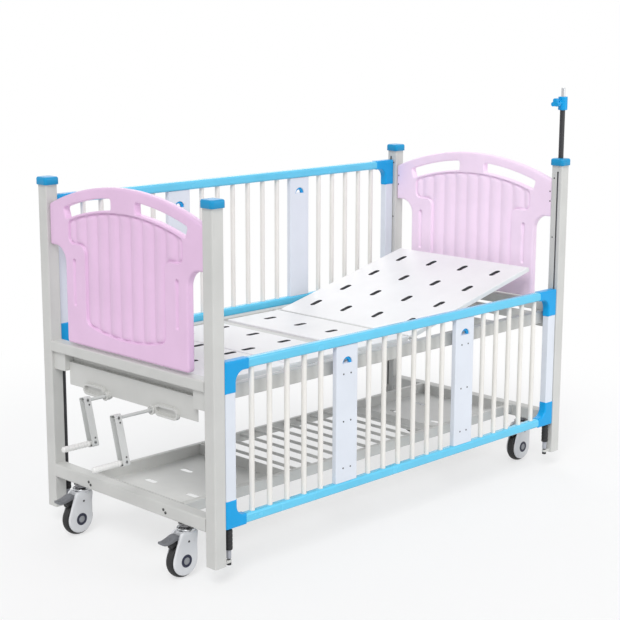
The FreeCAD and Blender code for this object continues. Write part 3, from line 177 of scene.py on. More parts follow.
# finishes: shade is the darker patches' share of the colour, grain is how fine the bump is
finishes = {
    "framePaint": dict(colour=(0.60, 0.60, 0.58), shade=0.94, roughness=0.42, grain=900.0, bump=0.05),
    "barPaint": dict(colour=(0.81, 0.79, 0.75), shade=0.95, roughness=0.40, grain=900.0, bump=0.05),
    "plateWhite": dict(colour=(0.715, 0.755, 0.825), shade=0.96, roughness=0.38, grain=700.0, bump=0.03),
    "azureRail": dict(colour=(0.10, 0.565, 0.83), shade=0.93, roughness=0.26, grain=900.0, bump=0.03,
                      coat=0.5),
    "azureMoulding": dict(colour=(0.001, 0.355, 0.76), shade=0.92, roughness=0.30, grain=600.0, bump=0.04,
                          specular=0.30),
    "capBlue": dict(colour=(0.002, 0.30, 0.60), shade=0.92, roughness=0.32, grain=600.0, bump=0.04,
                    specular=0.35),
    "channelGrey": dict(colour=(0.40, 0.41, 0.45), shade=0.92, roughness=0.40, grain=600.0, bump=0.02),
    "boardPink": dict(colour=(0.79, 0.54, 0.76), shade=0.95, roughness=0.36, grain=420.0, bump=0.05),
    # the head board's pink is the foot board's pink painted lighter: painted light on the head end
    "headPinkPaintedLight": dict(colour=(0.96, 0.765, 0.94), shade=0.95, roughness=0.36, grain=420.0, bump=0.05),
    "deckPaint": dict(colour=(0.84, 0.84, 0.84), shade=0.96, roughness=0.38, grain=900.0, bump=0.04),
    "trayPaint": dict(colour=(0.69, 0.69, 0.67), shade=0.92, roughness=0.45, grain=900.0, bump=0.05),
    "zincSteel": dict(colour=(0.45, 0.46, 0.47), shade=0.85, roughness=0.34, grain=300.0, bump=0.03,
                      metal=1.0),
    "leverSteel": dict(colour=(0.13, 0.135, 0.125), shade=0.7, roughness=0.38, grain=300.0, bump=0.04,
                       metal=0.6),
    # slotShade: near-black painted shade for the wells under the deck's slots
    "slotShade": dict(colour=(0.05, 0.05, 0.055), shade=0.8, roughness=0.5, grain=500.0, bump=0.03),
    "darkRod": dict(colour=(0.045, 0.045, 0.050), shade=0.8, roughness=0.35, grain=600.0, bump=0.03),
    "blackRubber": dict(colour=(0.016, 0.016, 0.018), shade=0.7, roughness=0.62, grain=800.0, bump=0.10),
    "crankPaint": dict(colour=(0.62, 0.63, 0.62), shade=0.93, roughness=0.38, grain=900.0, bump=0.05),
    "gripWhite": dict(colour=(0.78, 0.78, 0.76), shade=0.95, roughness=0.32, grain=500.0, bump=0.03),
    "casterSilver": dict(colour=(0.72, 0.73, 0.75), shade=0.93, roughness=0.30, grain=600.0, bump=0.02),
    "tyreBlack": dict(colour=(0.014, 0.014, 0.015), shade=0.7, roughness=0.5, grain=500.0, bump=0.08),
    "hubGrey": dict(colour=(0.30, 0.31, 0.33), shade=0.9, roughness=0.40, grain=500.0, bump=0.03),
    "hubNavy": dict(colour=(0.006, 0.010, 0.040), shade=0.8, roughness=0.28, grain=500.0, bump=0.02),
    "pedalSlate": dict(colour=(0.17, 0.175, 0.19), shade=0.85, roughness=0.45, grain=500.0, bump=0.06),
    "bowlSteel": dict(colour=(0.26, 0.26, 0.27), shade=0.7, roughness=0.28, grain=300.0, bump=0.02,
                      metal=1.0),
    "chrome": dict(colour=(0.58, 0.59, 0.61), shade=0.92, roughness=0.20, grain=200.0, bump=0.01, metal=1.0),
    "poleGrey": dict(colour=(0.030, 0.030, 0.033), shade=0.85, roughness=0.45, grain=600.0, bump=0.03),
    "boltDark": dict(colour=(0.10, 0.10, 0.10), shade=0.8, roughness=0.35, grain=600.0, bump=0.03, metal=1.0),
}
surface = {"patches": 7.0, "patchDetail": 3.0, "patchEdges": (0.32, 0.62), "glossSpread": (0.88, 1.15),
           "grainDetail": 2.0, "grainDepth": 0.0006, "coatRoughness": 0.12}
made = {}


def finish(name):
    # colour drifts a little between itself and its shade over hand-sized patches; fine grain gives
    # the bump of a powder coat or a moulding, and the gloss follows the same patches
    if name in made:
        return made[name]
    f = finishes[name]
    material = bpy.data.materials.new(name)
    material.use_nodes = True
    tree = material.node_tree
    place = addNode(tree, "TexCoord", {}).outputs["Object"]
    patches = addNode(tree, "TexNoise", {"Vector": place, "Scale": surface["patches"],
                                         "Detail": surface["patchDetail"]}).outputs["Fac"]
    ramp = addNode(tree, "ValToRGB", {"Fac": patches})
    colours = ([c * f["shade"] for c in f["colour"]], f["colour"])
    for stop, edge, colour in zip(ramp.color_ramp.elements, surface["patchEdges"], colours):
        stop.position = edge
        stop.color = (*colour, 1.0)
    glossy, dull = surface["glossSpread"]
    gloss = addNode(tree, "MapRange", {"Value": patches, "To Min": f["roughness"] * glossy,
                                       "To Max": min(1.0, f["roughness"] * dull)})
    grain = addNode(tree, "TexNoise", {"Vector": place, "Scale": f["grain"],
                                       "Detail": surface["grainDetail"]})
    bump = addNode(tree, "Bump", {"Height": grain.outputs["Fac"], "Strength": f["bump"],
                                  "Distance": surface["grainDepth"]})
    plug(tree, tree.nodes["Principled BSDF"], {
        "Base Color": ramp.outputs["Color"], "Roughness": gloss.outputs["Result"],
        "Normal": bump.outputs["Normal"], "Metallic": f.get("metal", 0.0),
        "Specular IOR Level": f.get("specular", 0.5), "Coat Weight": f.get("coat", 0.0),
        "Coat Roughness": surface["coatRoughness"]})
    made[name] = material
    return material


def dress(node, name):
    # the CAD solid keeps its shape and takes a finish
    slots = nodes[node].data.materials
    if not slots:
        slots.append(finish(name))
    for i in range(len(slots)):
        slots[i] = finish(name)


def dressAll():
    plain = {"framePaint": ["end_beams", "deck_frame", "crank_plate", "tray_frame"],
             "trayPaint": ["foot_tray_pan", "head_tray_pan"],
             "deckPaint": [panel + "_panel" for panel in ("seat", "backrest", "thigh", "leg")],
             "leverSteel": ["backrest_lever", "thigh_lever", "backrest_push_tube", "knee_push_tube"],
             "crankPaint": ["backrest_crank", "knee_crank"],
             "azureMoulding": ["pole_collar", "pole_knob"],
             "poleGrey": ["pole_tube"],
             "chrome": ["pole_rod"],
             "azureRail": [side + "_rail_tubes" for side in sides],
             "plateWhite": [side + part for side in sides for part in ("_rail_uprights", "_rail_plates")],
             "barPaint": [side + "_rail_bars" for side in sides]}
    for end in ends:
        for side in sides:
            plain["framePaint"].append("post_" + end + "_" + side)
            plain["azureMoulding"].append(side + "_" + end + "_trigger")
    for name, members in plain.items():
        for node in members:
            dress(node, name)


# surfaces: lines are rows of points, counter-clockwise round a solid, and lengths are in millimetres
mesher = {
    "edgeRings": 4,            # rings of points over each rounded rim
    "ringShare": 0.93,         # rings closer to a line than this share of their offset lose those points
    "gridGap": 0.4,            # share of the pitch that the grid keeps away from rings
    "creaseGap": 1.1,          # share of the rim's rounding that creases keep away from rims
    "block": 4000,             # points measured at a time
}


def arcPoints(centre, radius, start, stop, step):
    # centre + radius (cos t, sin t), with t spread evenly so that points are about a step apart
    count = max(3, int(abs(stop - start) * radius / step) + 2)
    turn = np.linspace(start, stop, count)
    return np.stack([centre[0] + radius * np.cos(turn), centre[1] + radius * np.sin(turn)], 1)


def outline(corners, step):
    # closed line through (u, v, radius) corners, each rounded by an arc that touches both its sides,
    # with points no further apart than the step
    line = []
    count = len(corners)
    for i in range(count):
        here = np.array(corners[i][:2])
        radius = corners[i][2]
        before = np.array(corners[i - 1][:2]) - here
        after = np.array(corners[(i + 1) % count][:2]) - here
        before = before / np.linalg.norm(before)
        after = after / np.linalg.norm(after)
        opening = math.acos(np.clip(before @ after, -1.0, 1.0))
        if radius <= 0.0 or opening > math.pi - 0.02:
            line.append(here)
            continue
        halfway = (before + after) / np.linalg.norm(before + after)
        centre = here + halfway * radius / math.sin(opening / 2)
        first = here + before * radius / math.tan(opening / 2) - centre
        last = here + after * radius / math.tan(opening / 2) - centre
        start = math.atan2(first[1], first[0])
        sweep = math.atan2(first[0] * last[1] - first[1] * last[0], first @ last)
        line.extend(arcPoints(centre, radius, start, start + sweep, step))
    line = np.array(line)
    dense = []
    for a, b in zip(line, np.roll(line, -1, 0)):
        steps = max(1, int(np.linalg.norm(b - a) / step + 0.5))
        dense.append(a + (b - a) * np.arange(steps)[:, None] / steps)
    dense = np.concatenate(dense)
    apart = np.linalg.norm(dense - np.roll(dense, 1, 0), axis=1)
    return dense[apart > step * 0.02]


def obround(width, height, share, step):
    # a slot round the origin whose ends are nearly, by this share, half circles
    half = min(width, height) / 2 * share
    u = width / 2
    v = height / 2
    return outline([(-u, -v, half), (u, -v, half), (u, v, half), (-u, v, half)], step)


def mirrored(half):
    # both halves of a line of corners that starts and ends on the middle line u = 0
    return half + [(-u, v, r) for u, v, r in half[::-1] if abs(u) > 1e-9]


def area(line):
    # half the sum of the cross products of neighbouring points
    after = np.roll(line, -1, 0)
    return 0.5 * np.sum(line[:, 0] * after[:, 1] - line[:, 1] * after[:, 0])


def signedDistance(points, lines):
    # distance to the nearest side of the closed lines, positive where an odd number of them surrounds
    # the point
    starts = np.concatenate(lines)
    steps = np.concatenate([np.roll(line, -1, 0) - line for line in lines])
    lengths = np.maximum((steps ** 2).sum(1), 1e-18)
    rise = np.where(np.abs(steps[:, 1]) < 1e-12, 1e-12, steps[:, 1])
    result = np.empty(len(points))
    for first in range(0, len(points), mesher["block"]):
        p = points[first:first + mesher["block"]]
        gap = p[:, None, :] - starts[None]
        along = np.clip((gap * steps).sum(2) / lengths, 0.0, 1.0)
        nearest = np.sqrt(((gap - along[..., None] * steps) ** 2).sum(2)).min(1)
        above = starts[None, :, 1] > p[:, 1, None]
        aboveNext = (starts + steps)[None, :, 1] > p[:, 1, None]
        crossing = starts[:, 0] + (p[:, 1, None] - starts[None, :, 1]) * (steps[:, 0] / rise)
        inside = ((above != aboveNext) & (p[:, 0, None] < crossing)).sum(1) % 2 == 1
        result[first:first + len(p)] = np.where(inside, nearest, -nearest)
    return result


def shifted(line, distance):
    # the line's points moved to its left, which is inwards on a counter-clockwise line
    way = np.roll(line, -1, 0) - np.roll(line, 1, 0)
    way = way / np.maximum(np.linalg.norm(way, axis=1), 1e-12)[:, None]
    return line + np.stack([-way[:, 1], way[:, 0]], 1) * distance


def smoothStep(x, low, high):
    # 6 t^5 - 15 t^4 + 10 t^3 of the share t of the way from low to high
    t = np.clip((x - low) / (high - low), 0.0, 1.0)
    return t * t * t * (t * (6 * t - 15) + 10)


def roundEdge(distance, radius):
    # fall of the surface near its rim: a quarter circle of this radius
    inward = np.clip(radius - distance, 0.0, radius)
    return radius - np.sqrt(np.maximum(radius ** 2 - inward ** 2, 0.0))


def addMesh(name, points, faces, materials, body, kinds=None):
    # points in millimetres from the middle of the cot
    mesh = bpy.data.meshes.new(name)
    mesh.from_pydata(((points + middle) / 1000).tolist(), [], faces)
    mesh.polygons.foreach_set("use_smooth", np.ones(len(mesh.polygons), bool))
    for material in materials:
        mesh.materials.append(finish(material))
    if kinds is not None:
        mesh.polygons.foreach_set("material_index", kinds)
    mesh.update()
    piece = bpy.data.objects.new(name, mesh)
    bpy.context.scene.collection.objects.link(piece)
    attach(piece, body)
    return piece


def sheetPoints(lines, edges, creases, pitch):
    # rim points first, then rings that follow the rim and the creases, then a grid between them
    rim = np.concatenate(lines)
    rings = []
    need = []
    for line, edge in zip(lines, edges):
        for d in edge * (1 - np.cos(np.linspace(0, math.pi / 2, mesher["edgeRings"] + 1)))[1:]:
            rings.append(shifted(line, d))
            need.append(np.full(len(line), d * mesher["ringShare"]))
    for line, offsets in creases:
        for d in offsets:
            ring = shifted(line, d)
            ring = ring[np.abs(signedDistance(ring, [line])) >= abs(d) * mesher["ringShare"]]
            rings.append(ring)
            need.append(np.full(len(ring), min(edges) * mesher["creaseGap"]))
    rings = np.concatenate(rings)
    rings = rings[signedDistance(rings, lines) >= np.concatenate(need)]
    low = rim.min(0)
    high = rim.max(0)
    u = np.linspace(low[0], high[0], int((high[0] - low[0]) / pitch[0]) + 2)
    v = np.linspace(low[1], high[1], int((high[1] - low[1]) / pitch[1]) + 2)
    grid = np.stack(np.meshgrid(u, v), 2).reshape(-1, 2)
    grid = grid[signedDistance(grid, lines) > 0]
    spare = min(pitch) * mesher["gridGap"]
    for line, edge in zip(lines, edges):
        grid = grid[np.abs(signedDistance(grid, [line])) > edge + spare]
    for line, offsets in creases:
        away = signedDistance(grid, [line])
        grid = grid[(away < min(offsets) - spare) | (away > max(offsets) + spare)]
    return np.concatenate([rim, rings, grid])


def plateSurface(lines, edges, creases, pitch, top, foot):
    # closed body between two sheets over the (u, v) plane: each height is a function of the points
    # and of the fall of a quarter-round edge along every rim, and a straight band joins the rims
    lines = [line if (area(line) > 0) == (i == 0) else line[::-1] for i, line in enumerate(lines)]
    found = delaunay_2d_cdt([Vector(p) for p in sheetPoints(lines, edges, creases, pitch)], [], [], 0, 1e-7)
    points = np.array([p[:] for p in found[0]])
    order = np.argsort([sources[0] for sources in found[3]])
    triangles = np.array(found[2])
    a, b, c = points[triangles[:, 0]], points[triangles[:, 1]], points[triangles[:, 2]]
    turn = (b[:, 0] - a[:, 0]) * (c[:, 1] - a[:, 1]) - (b[:, 1] - a[:, 1]) * (c[:, 0] - a[:, 0])
    triangles[turn < 0] = triangles[turn < 0][:, ::-1]
    triangles = triangles[signedDistance((a + b + c) / 3, lines) > 0]
    fall = np.max([roundEdge(np.abs(signedDistance(points, [line])), edge)
                   for line, edge in zip(lines, edges)], 0)
    count = len(points)
    upper = np.column_stack([points, top(points, fall)])
    lower = np.column_stack([points, foot(points, fall)])
    band = []
    start = 0
    for line in lines:
        index = order[start:start + len(line)]
        after = np.roll(index, -1)
        band.append(np.stack([after, index, index + count, after + count], 1))
        start += len(line)
    faces = triangles.tolist() + (triangles[:, ::-1] + count).tolist() + np.concatenate(band).tolist()
    return np.concatenate([upper, lower]), faces


def slab(line, half, edge, pitch):
    # an even plate: both sheets lie half a thickness from the middle, less the fall at the rim
    return plateSurface([line], [edge], [], pitch, lambda p, fall: half - fall, lambda p, fall: fall - half)


def facing(points, faces, axis, sign):
    # a part drawn along an axis, or mirrored across it with its faces turned back outwards
    if sign > 0:
        return points, faces
    return points * np.where(np.arange(3) == "xyz".index(axis), -1, 1), [face[::-1] for face in faces]


def joined(parts):
    # one set of points and faces from (points, faces, kind) parts, each kind a place in the materials
    points = np.concatenate([p for p, f, kind in parts])
    faces = []
    kinds = []
    start = 0
    for p, f, kind in parts:
        faces.extend(tuple(i + start for i in face) for face in f)
        kinds.extend([kind] * len(f))
        start += len(p)
    return points, faces, kinds


def revolve(profile, count, base, axis):
    # a closed line of (radius, height) points carried round an axis through the base point; points on
    # the axis are joined into one
    profile = np.array(profile, float)
    turn = np.linspace(0, 2 * math.pi, count, endpoint=False)
    ring = np.stack([np.outer(profile[:, 0], np.cos(turn)), np.outer(profile[:, 0], np.sin(turn)),
                     np.outer(profile[:, 1], np.ones(count))], 2)
    axes = {"x": [2, 0, 1], "y": [1, 2, 0], "z": [0, 1, 2]}[axis]
    ring = ring[:, :, axes].reshape(-1, 3) + np.array(base, float)
    rows = len(profile)
    i = np.arange(rows)[:, None]
    j = np.arange(count)[None]
    onAxis = profile[:, 0] < 1e-6
    index = i * count + np.where(onAxis[i], 0, j)
    after = (i + 1) % rows
    quads = np.stack([index, i * count + np.where(onAxis[i], 0, (j + 1) % count),
                      after * count + np.where(onAxis[after], 0, (j + 1) % count),
                      after * count + np.where(onAxis[after], 0, j)], 2).reshape(-1, 4)
    keep = ~(np.repeat(onAxis, count) & np.repeat(np.roll(onAxis, -1), count))
    used, quads = np.unique(quads[keep], return_inverse=True)
    return ring[used], [tuple(dict.fromkeys(quad)) for quad in quads.reshape(-1, 4).tolist()]


def softProfile(corners, step=1.0):
    # a revolved outline is an outline in the plane of radius and height, counter-clockwise
    line = outline(corners, step)
    return line if area(line) > 0 else line[::-1]


def solidProfile(corners):
    # a line from the axis out and back to the axis, with rounded corners in between
    line = outline([(0.0, corners[0][1], 0.0)] + corners + [(0.0, corners[-1][1], 0.0)], 4.0)
    return line if area(line) > 0 else line[::-1]


def loft(stations, halfWidths, lows, highs, power, count):
    # sections across y of a super-ellipse (y = w cos^p, z = middle + height sin^p) whose width, foot
    # and top follow the station x, closed by a fan at both ends
    turn = np.linspace(0, 2 * math.pi, count, endpoint=False)
    c = np.sign(np.cos(turn)) * np.abs(np.cos(turn)) ** power
    d = np.sign(np.sin(turn)) * np.abs(np.sin(turn)) ** power
    stations, halfWidths, lows, highs = [np.array(a, float) for a in (stations, halfWidths, lows, highs)]
    y = halfWidths[:, None] * c
    z = (highs + lows)[:, None] / 2 + (highs - lows)[:, None] / 2 * d
    x = np.repeat(stations[:, None], count, 1)
    points = np.stack([x, y, z], 2).reshape(-1, 3)
    rows = len(stations)
    i = np.arange(rows - 1)[:, None]
    j = np.arange(count)[None]
    after = (j + 1) % count
    faces = np.stack([i * count + j, i * count + after, (i + 1) * count + after, (i + 1) * count + j], 2)
    if stations[-1] > stations[0]:
        faces = faces[..., ::-1]
    tips = np.array([[stations[k], 0, (highs[k] + lows[k]) / 2] for k in (0, -1)])
    last = (rows - 1) * count
    fans = [np.stack([np.full(count, rows * count), (np.arange(count) + 1) % count, np.arange(count)], 1),
            np.stack([np.full(count, rows * count + 1), last + np.arange(count),
                      last + (np.arange(count) + 1) % count], 1)]
    if stations[-1] > stations[0]:
        fans = [fan[:, ::-1] for fan in fans]
    return (np.concatenate([points, tips]),
            faces.reshape(-1, 4).tolist() + fans[0].tolist() + fans[1].tolist())


def alongY(points):
    # (u, v, h) of a plate drawn in the plane of x and z, thick along y; u and h trade sides so that
    # the faces still point outwards
    return np.stack([points[:, 0], -points[:, 2], points[:, 1]], 1)


# end boards
board = {
    "middleX": 948.0, "half": 15.0, "edge": 8.0, "slotEdge": 4.5,
    "width": 425.0, "top": 1308.0, "foot": 721.0, "crown": 1067.0,
    "shoulder": 1071.0, "body": 336.0, "cove": 60.0, "footRound": 12.0,
    "slotFrom": 67.0, "slotTo": 340.0, "slotUpper": 38.0, "slotLower": 80.0, "slotRound": 9.0,
    "panelTop": 86.0, "panelWidth": 315.0, "panelRound": 25.0, "panelStep": 1084.0, "waist": 222.0,
    "curve": 27.0, "panelFoot": 802.0, "sag": 29.0, "panelFootRound": 34.0, "panelDepth": 10.0, "wall": 4.5,
    "flutePitch": 62.0, "fluteRise": 8.0, "fluteGap": 4.0,
    "grooveAt": 283.0, "grooveWidth": 22.0, "grooveLow": 857.0, "grooveHigh": 1034.0, "grooveDepth": 10.0,
    "grooveShallow": 0.72, "grooveWall": (10.5, 4.5),      # depth at the foot as a share, walls at both ends
    "panelCreases": (-1.0, 0.4, 1.6, 2.8, 4.2, 6.4, 9.8),
    "grooveCreases": (-0.8, 0.8, 2.4, 4.2, 6.4, 8.6),
    "pitch": (5.5, 11.0), "rimLineStep": 6.0, "panelLineStep": 5.0, "slotLineStep": 3.0, "crownStep": 12.0,
}


def crownHeight(u, offset):
    # the crowned top edge is a circle, and the curves below it are its parallels
    radius = board["crown"] - offset
    return board["top"] - board["crown"] + np.sqrt(radius ** 2 - u ** 2)


def crownCorners(start, stop, offset):
    u = np.linspace(start, stop, max(2, int(abs(stop - start) / board["crownStep"])))
    return [(a, b, 0.0) for a, b in zip(u.tolist(), crownHeight(u, offset).tolist())]


def boardLines():
    # the rim, and a hand slot on either side between two parallels of the crown
    b = board
    rim = outline(mirrored(crownCorners(0.0, b["width"], 0.0)
                           + [(b["width"], b["shoulder"], 0.0), (b["body"], b["shoulder"], b["cove"]),
                              (b["body"], b["foot"], b["footRound"]), (0.0, b["foot"], 0.0)]),
                  b["rimLineStep"])
    outer = b["slotTo"] * (b["crown"] - b["slotLower"]) / (b["crown"] - b["slotUpper"])
    r = b["slotRound"]
    inner = b["slotFrom"]
    corners = ([(inner, crownHeight(inner, b["slotUpper"]), r)]
               + crownCorners(inner + 2 * r, b["slotTo"] - 2 * r, b["slotUpper"])
               + [(b["slotTo"], crownHeight(b["slotTo"], b["slotUpper"]), r),
                  (outer, crownHeight(outer, b["slotLower"]), r)]
               + crownCorners(outer - 2 * r, inner + 2 * r, b["slotLower"])
               + [(inner, crownHeight(inner, b["slotLower"]), r)])
    slots = [outline([(side * u, v, radius) for u, v, radius in corners], b["slotLineStep"])
             for side in (-1, 1)]
    return [rim] + slots


def panelLine():
    # the recess: crowned top, shoulders that step in to the waist, and a foot that sags as a circle
    b = board
    u = np.linspace(b["waist"] - 2 * b["panelFootRound"], 0.0, 12)
    bend = (b["waist"] ** 2 + b["sag"] ** 2) / (2 * b["sag"])
    v = b["panelFoot"] - b["sag"] + bend - np.sqrt(bend ** 2 - u ** 2)
    half = (crownCorners(0.0, b["panelWidth"] - 2 * b["panelRound"], b["panelTop"])
            + [(b["panelWidth"], crownHeight(b["panelWidth"], b["panelTop"]), b["panelRound"]),
               (b["panelWidth"], b["panelStep"], b["curve"]), (b["waist"], b["panelStep"], b["curve"]),
               (b["waist"], b["panelFoot"], b["panelFootRound"])]
            + [(a, c, 0.0) for a, c in zip(u.tolist(), v.tolist())])
    return outline(mirrored(half), b["panelLineStep"])[::-1]


def grooveLines():
    b = board
    middleHeight = (b["grooveLow"] + b["grooveHigh"]) / 2
    groove = obround(b["grooveWidth"], b["grooveHigh"] - b["grooveLow"], 0.98, b["slotLineStep"])
    return [groove + (side * b["grooveAt"], middleHeight) for side in (-1, 1)]


def addBoards():
    # outer face = half thickness - rounded rim - recess wall (a smooth step over the distance inside
    # the panel's line) + flutes (circle segments side by side) - side grooves that deepen upwards
    b = board
    panel = panelLine()
    grooves = grooveLines()
    chord = (b["flutePitch"] - b["fluteGap"]) / 2
    bend = (chord ** 2 + b["fluteRise"] ** 2) / (2 * b["fluteRise"])
    low, high = b["grooveWall"]

    def relief(points, fall):
        inside = signedDistance(points, [panel])
        across = np.mod(points[:, 0] + b["flutePitch"] / 2, b["flutePitch"]) - b["flutePitch"] / 2
        across = np.clip(across, -chord, chord)
        rib = np.sqrt(bend ** 2 - across ** 2) - (bend - b["fluteRise"])
        drop = b["panelDepth"] * smoothStep(inside, 0.0, b["wall"])
        drop = drop - rib * smoothStep(inside, b["wall"] * 0.7, b["wall"] * 3.2)
        rise = np.clip((points[:, 1] - b["grooveLow"]) / (b["grooveHigh"] - b["grooveLow"]), 0.0, 1.0)
        for groove in grooves:
            wall = low + (high - low) * smoothStep(rise, 0.75, 1.0)
            cut = smoothStep(signedDistance(points, [groove]) / wall, 0.0, 1.0)
            depth = b["grooveShallow"] + (1 - b["grooveShallow"]) * smoothStep(rise, 0.6, 1.0)
            drop = drop + cut * b["grooveDepth"] * depth
        return b["half"] - fall - drop

    creases = [(panel, b["panelCreases"])] + [(groove, b["grooveCreases"]) for groove in grooves]
    points, faces = plateSurface(boardLines(), [b["edge"], b["slotEdge"], b["slotEdge"]], creases,
                                 b["pitch"], relief, lambda p, fall: -relief(p, fall))
    placed = points[:, [2, 0, 1]]
    # the head board takes the lighter copy of the pink, which is painted light
    for sign, end, paint in ((-1, "foot", "boardPink"), (1, "head", "headPinkPaintedLight")):
        piece = addMesh(end + "BoardShell", placed + (sign * b["middleX"], 0, 0), faces, [paint], "frame")
        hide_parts(end + "_board")
    print("end boards made,", len(faces), "faces each")


# casters: round the swivel axis, trailing towards -x
caster = {
    "postX": 950.0, "sideY": 297.0, "trail": 22.0, "wheel": 62.5,
    "shield": 53.0, "shieldFrom": 17.0, "shieldTo": 24.8, "shieldEdge": 6.5, "pitch": (6.0, 6.0),
    "swell": 1.8, "swellFrom": (2.0, 26.0), "headWiden": 4.5, "widenFrom": (112.0, 162.0),
    "top": 166.0, "front": 31.0, "frontRound": 10.0, "back": 42.0, "backRound": 14.0,
    "well": 66.5, "wellArc": (97.0, 38.0), "bridgeBack": 30.0, "bridgeHalf": 18.5,
    "dish": [(29.0, 152.0, 1.0), (29.5, 164.0, 1.5), (33.0, 167.0, 1.5), (33.6, 173.4, 1.2),
             (31.4, 173.9, 0.8), (29.0, 168.0, 1.5), (24.0, 165.4, 1.5)],       # radius, height, rounding
    "bowl": [(28.8, 160.0, 0.5), (28.8, 168.2, 0.5), (25.0, 166.0, 1.0), (22.0, 168.8, 1.0),
             (16.0, 169.4, 1.0), (14.0, 173.0, 1.0), (10.6, 173.4, 0.5)],
    "race": [(10.0, 151.0, 0.5), (10.0, 174.6, 0.3), (20.0, 175.0, 1.0), (22.5, 179.0, 1.5),
             (21.0, 184.0, 1.5), (27.5, 186.5, 1.0), (27.8, 191.0, 0.4)],
    "ring": [(13.0, 0.0, 0.0), (23.0, 0.0, 0.0), (23.0, 1.3, 0.6), (20.5, 1.9, 0.5), (19.0, 1.3, 0.5),
             (14.5, 1.3, 0.5), (13.8, 2.0, 0.4), (13.0, 2.0, 0.4)],
    "core": [(13.2, 0.0, 0.0), (13.2, 1.0, 0.3), (6.0, 2.1, 1.0), (4.0, 1.3, 0.6)],
    # the plug is a near-black disc, painted shade for a small hole in each cover
    "plug": [(4.2, -3.0, 0.0), (4.2, 0.8, 0.3), (2.52, 0.8, 0.2)],
    "holeShadePlace": (-12.0, 131.0), "holeShadeOut": 1.9,
    "hubOut": -0.8,                              # how far the hub's rings stand out of the swollen cover
}
wheel = {
    "half": 15.0, "hub": 45.5, "crown": 0.018, "grooves": (-5.5, 0.0, 5.5), "grooveDepth": 0.9,
    "grooveWidth": 0.7, "treadEdge": 3.0, "treadPoints": 49, "web": 7.0, "flange": 13.0,
}
pedal = {
    # distance out from the swivel axis, half width, underside and top of each section
    "sections": [(31.5, 9.0, 141.0, 145.0), (32.5, 12.5, 138.0, 147.5), (35.0, 15.0, 136.2, 150.5),
                 (40.0, 15.8, 135.0, 154.0), (45.0, 16.1, 136.0, 157.5), (50.0, 16.2, 137.4, 159.5),
                 (56.0, 16.2, 138.4, 160.0), (61.0, 18.0, 138.4, 158.6), (67.0, 19.6, 137.6, 155.4),
                 (76.0, 20.0, 135.6, 151.0), (86.0, 20.0, 134.0, 147.8), (95.0, 19.8, 133.0, 145.6),
                 (102.0, 19.4, 133.0, 144.6), (107.0, 18.6, 133.8, 145.2), (111.0, 17.2, 135.4, 146.4),
                 (114.4, 14.0, 137.6, 146.2), (115.9, 10.0, 140.0, 143.6)],
    "finer": 65, "round": 0.45, "around": 40,
    "padCentre": (-39.1, 60.5), "pad": 63.4, "padArc": (101.0, 122.5),      # on the tread once pressed
    "blockTop": ((-46.0, 139.0, 1.5), (-77.0, 138.0, 2.0)), "blockHalf": 13.0, "blockEdge": 2.0,
    "ribs": ((-74.0, 151.6), (-82.0, 148.8), (-90.0, 146.6), (-98.0, 145.0)),
    "ribAlong": (-1.6, -1.2, 0.0, 1.2, 1.6), "ribHalf": (12.0, 13.0, 13.4, 13.0, 12.0),
    "ribRise": (0.0, 1.0, 1.4, 1.0, 0.0),
}


def coverLine():
    # the round of the wheel cover with its tangents up to the fork head
    c = caster
    centre = np.array([-c["trail"], c["wheel"]])
    touch = []
    for high, side in (((c["front"], c["top"]), -1), ((-c["back"], c["top"]), 1)):
        reach = np.array(high) - centre
        touch.append(math.atan2(reach[1], reach[0]) + side * math.acos(c["shield"] / np.linalg.norm(reach)))
    rounding = arcPoints(centre, c["shield"], touch[1], touch[0] + 2 * math.pi, 4.0)
    return outline([(c["front"], c["top"], c["frontRound"]), (-c["back"], c["top"], c["backRound"])]
                   + [(u, v, 0.0) for u, v in rounding.tolist()], 4.0)


def shieldParts():
    # two shields with a soft rounded edge that swell towards their middle and widen into the head,
    # and a bridge between them over the wheel's round
    c = caster
    rim = coverLine()

    def outer(points, fall):
        swell = smoothStep(signedDistance(points, [rim]), *c["swellFrom"])
        widen = smoothStep(points[:, 1], *c["widenFrom"])
        return c["shieldTo"] + c["swell"] * swell + c["headWiden"] * widen - fall

    def inner(points, fall):
        return 0 * fall + c["shieldFrom"]

    near = plateSurface([rim], [c["shieldEdge"]], [], c["pitch"], outer, inner)
    far = plateSurface([rim], [c["shieldEdge"]], [], c["pitch"], lambda p, fall: -inner(p, fall),
                       lambda p, fall: -outer(p, fall))
    arc = arcPoints((-c["trail"], c["wheel"]), c["well"], *[math.radians(a) for a in c["wellArc"]], 4.0)
    high = c["top"] - 0.5
    line = outline([(c["front"], high, 8.0), (-c["bridgeBack"], high, 5.0)]
                   + [(u, v, 0.0) for u, v in arc.tolist()], 4.0)
    bridge = slab(line, c["bridgeHalf"], 1.0, c["pitch"])
    return [(alongY(points), faces, 0) for points, faces in (near, far, bridge)]


def hubParts():
    # ring, core and plug are revolved and set on both covers; the near-black plug is painted shade for a
    # small hole in the cover
    c = caster
    out = c["shieldTo"] + c["swell"] + c["hubOut"]
    holeX, holeZ = c["holeShadePlace"]
    kit = ((softProfile(c["ring"], 1.5), 48, 2, (-c["trail"], out, c["wheel"])),
           (solidProfile(c["core"]), 48, 3, (-c["trail"], out, c["wheel"])),
           (solidProfile(c["plug"]), 24, 4, (holeX, out + c["holeShadeOut"], holeZ)))
    parts = []
    for side in (-1, 1):
        for shape, count, kind, place in kit:
            points, faces = facing(*revolve(shape, count, (0, 0, 0), "y"), "y", side)
            parts.append((points + np.array(place) * (1, side, 1), faces, kind))
    return parts


def casterBodyParts():
    # the covers with their hubs, and a dish and a bowl revolved round the swivel axis; each part's last
    # value is the place of its paint
    c = caster
    dish = (*revolve(solidProfile(c["dish"]), 48, (0, 0, 0), "z"), 1)
    bowl = (*revolve(solidProfile(c["bowl"]), 48, (0, 0, 0), "z"), 5)
    return joined(shieldParts() + [dish, bowl] + hubParts())


